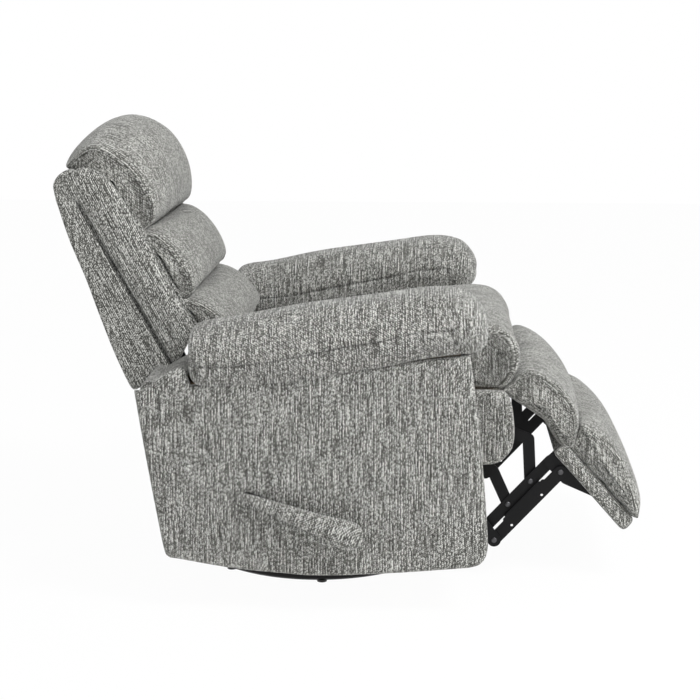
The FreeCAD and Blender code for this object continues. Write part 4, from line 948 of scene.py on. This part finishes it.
# Sides of the back: a flat strip at the rear and a round border in front of
# it, joined by a deep seam that runs down the back.
rear_strip = [(-546, 856), (-532, 808), (-518, 760), (-501, 715), (-485, 674), (-456, 588),
              (-424, 500), (-396, 436), (-384, 428), (-330, 456), (-302, 472), (-297, 482),
              (-345, 572), (-395, 662), (-438, 740), (-465, 792), (-488, 829), (-508, 846),
              (-530, 853)]
border_roll = [(-300, 480), (-291, 486), (-262, 540), (-249, 562), (-285, 630), (-321, 697),
               (-357, 765), (-393, 833), (-414, 868), (-437, 893), (-461, 907), (-489, 909),
               (-508, 898), (-523, 885), (-537, 868), (-543, 855), (-514, 845), (-490, 828),
               (-468, 792), (-442, 739), (-400, 664), (-350, 574)]
# Painted shade: the deep seam gets a black line along it, standing in for its gap shadow.
back_seams = [(from_line([(-540, 848), (-528, 851), (-512, 844), (-492, 827), (-470, 792),
                          (-442, 738), (-371, 610), (-300, 482)]), 0.004, 0.003, 1.0, 0.0)]
leaning = 0.48      # radians; the weave runs along the back
for word, side in sides:
    strip = wadded_panel("back_strip_cover_" + word, rear_strip, 0.2545, 0.279, side, 0.010, 0.002,
                         turn=leaning)
    close_up(strip, side_cloth, "back", [], levels=0, seams=back_seams)
    roll = wadded_panel("back_border_cover_" + word, border_roll, 0.2545, 0.284, side, 0.028, 0.005,
                        turn=leaning)
    close_up(roll, side_cloth, "back", ["back_border_" + word], levels=0,
             seams=back_seams)


# Outside back and the panel below it, between the arms.
rear_line = [(-392, 433), (-424, 500), (-456, 588), (-485, 674), (-518, 760), (-545, 856),
             (-543, 882), (-525, 901), (-503, 906), (-505, 894), (-520, 880), (-527, 858),
             (-502, 763), (-469, 678), (-440, 592), (-408, 504), (-377, 437)]
thin_cover("outside_back_cover", rear_line, 0.279, 0.005, 0.001, "back", ["back_outside_panel"])
skirt_line = [(-296, 139), (-303, 200), (-310, 250), (-316, 291), (-303, 291), (-297, 250),
              (-290, 200), (-283, 139)]
thin_cover("rear_panel_cover", skirt_line, 0.284, 0.004, 0.001, "seat_unit", ["rear_panel"])


# Padded front and rear of each arm.
front_line = [(344, 128), (362, 132), (374, 152), (369, 220), (362, 300), (348, 423), (334, 553),
              (318, 553), (332, 420), (346, 290), (353, 220), (352, 150)]
for word, side in sides:
    thin_cover("arm_front_cover_" + word, front_line, 0.0705, 0.006, 0.001, "seat_unit",
               ["arm_front_" + word], slices=20, across=side * 0.376)
heel_line = [(-238, 512), (-262, 514), (-300, 492), (-341, 466), (-317, 286), (-291, 133), (-279, 133),
             (-305, 286), (-328, 460), (-296, 482), (-262, 503), (-238, 502)]
for word, side in sides:
    thin_cover("arm_rear_cover_" + word, heel_line, 0.0805, 0.005, 0.001, "seat_unit", [],
               slices=20, across=side * 0.369)


# ---------------------------------------------------------------------------
# Lever: a flat steel bar on the drive tube, covered in the same cloth and
# ending in a round stuffed grip.
lever_root, lever_tip = (-115.0, 255.0), (88.0, 184.0)
reach = math.hypot(lever_tip[0] - lever_root[0], lever_tip[1] - lever_root[1])
go = ((lever_tip[0] - lever_root[0]) / reach, (lever_tip[1] - lever_root[1]) / reach)
#            along  half width  half thickness  stand-off
stations = [(-17, 3, 2, 490), (-15, 6, 4, 490), (-9, 9, 6, 490), (0, 11, 7, 490), (40, 14, 8, 491),
            (80, 17, 9, 493), (120, 20, 10, 495), (150, 22.5, 11, 497), (175, 25, 12, 498),
            (195, 29, 14, 499), (210, 32, 15, 500), (226, 32, 15, 500), (240, 26, 12, 500),
            (248, 15, 7, 500), (251, 6, 3, 500)]
verts = []
around, grip_girth = 36, 0.1
for along, wide, thick, stand in stations:
    for spot in range(around):
        angle = 2 * math.pi * spot / around
        rise, out = wide * math.cos(angle), thick * math.sin(angle)
        forward = lever_root[0] + go[0] * along - go[1] * rise
        up = lever_root[1] + go[1] * along + go[0] * rise
        verts.append((-(stand + out) / 1000, -forward / 1000, up / 1000))
faces, uvs = close_tube(verts, around, [station[0] / 1000 for station in stations], grip_girth)
grip = build_mesh("lever_cover", verts, faces, uvs)
face_out(grip)
close_up(grip, side_cloth, "lever", ["lever_grip"])


# ---------------------------------------------------------------------------
# Webbing straps behind the pillows: woven black jute and elastic.
strap_cloth, tree = new_material("woven_webbing")
place = add_node(tree, "ShaderNodeTexCoord").outputs["Object"]
bands = add_node(tree, "ShaderNodeTexWave", (("Vector", place), ("Scale", 190.0)),
                 bands_direction="X")
ribs = add_node(tree, "ShaderNodeTexWave", (("Vector", place), ("Scale", 260.0)),
                bands_direction="Z")
weave = add_node(tree, "ShaderNodeMath", ((0, bands.outputs["Fac"]), (1, ribs.outputs["Fac"])),
                 operation="MULTIPLY")
strap_tone = add_node(tree, "ShaderNodeMix", (
    (0, weave.outputs[0]), (6, (0.02, 0.02, 0.02, 1)), (7, (0.09, 0.085, 0.08, 1))),
    data_type="RGBA")
strap_relief = add_node(tree, "ShaderNodeBump", (
    ("Height", weave.outputs[0]), ("Strength", 0.6), ("Distance", 0.0005)))
surface(tree, (("Base Color", strap_tone.outputs[2]), ("Roughness", 0.85),
               ("Normal", strap_relief.outputs[0])))
finish_nodes(strap_cloth, ["back_webbing"])
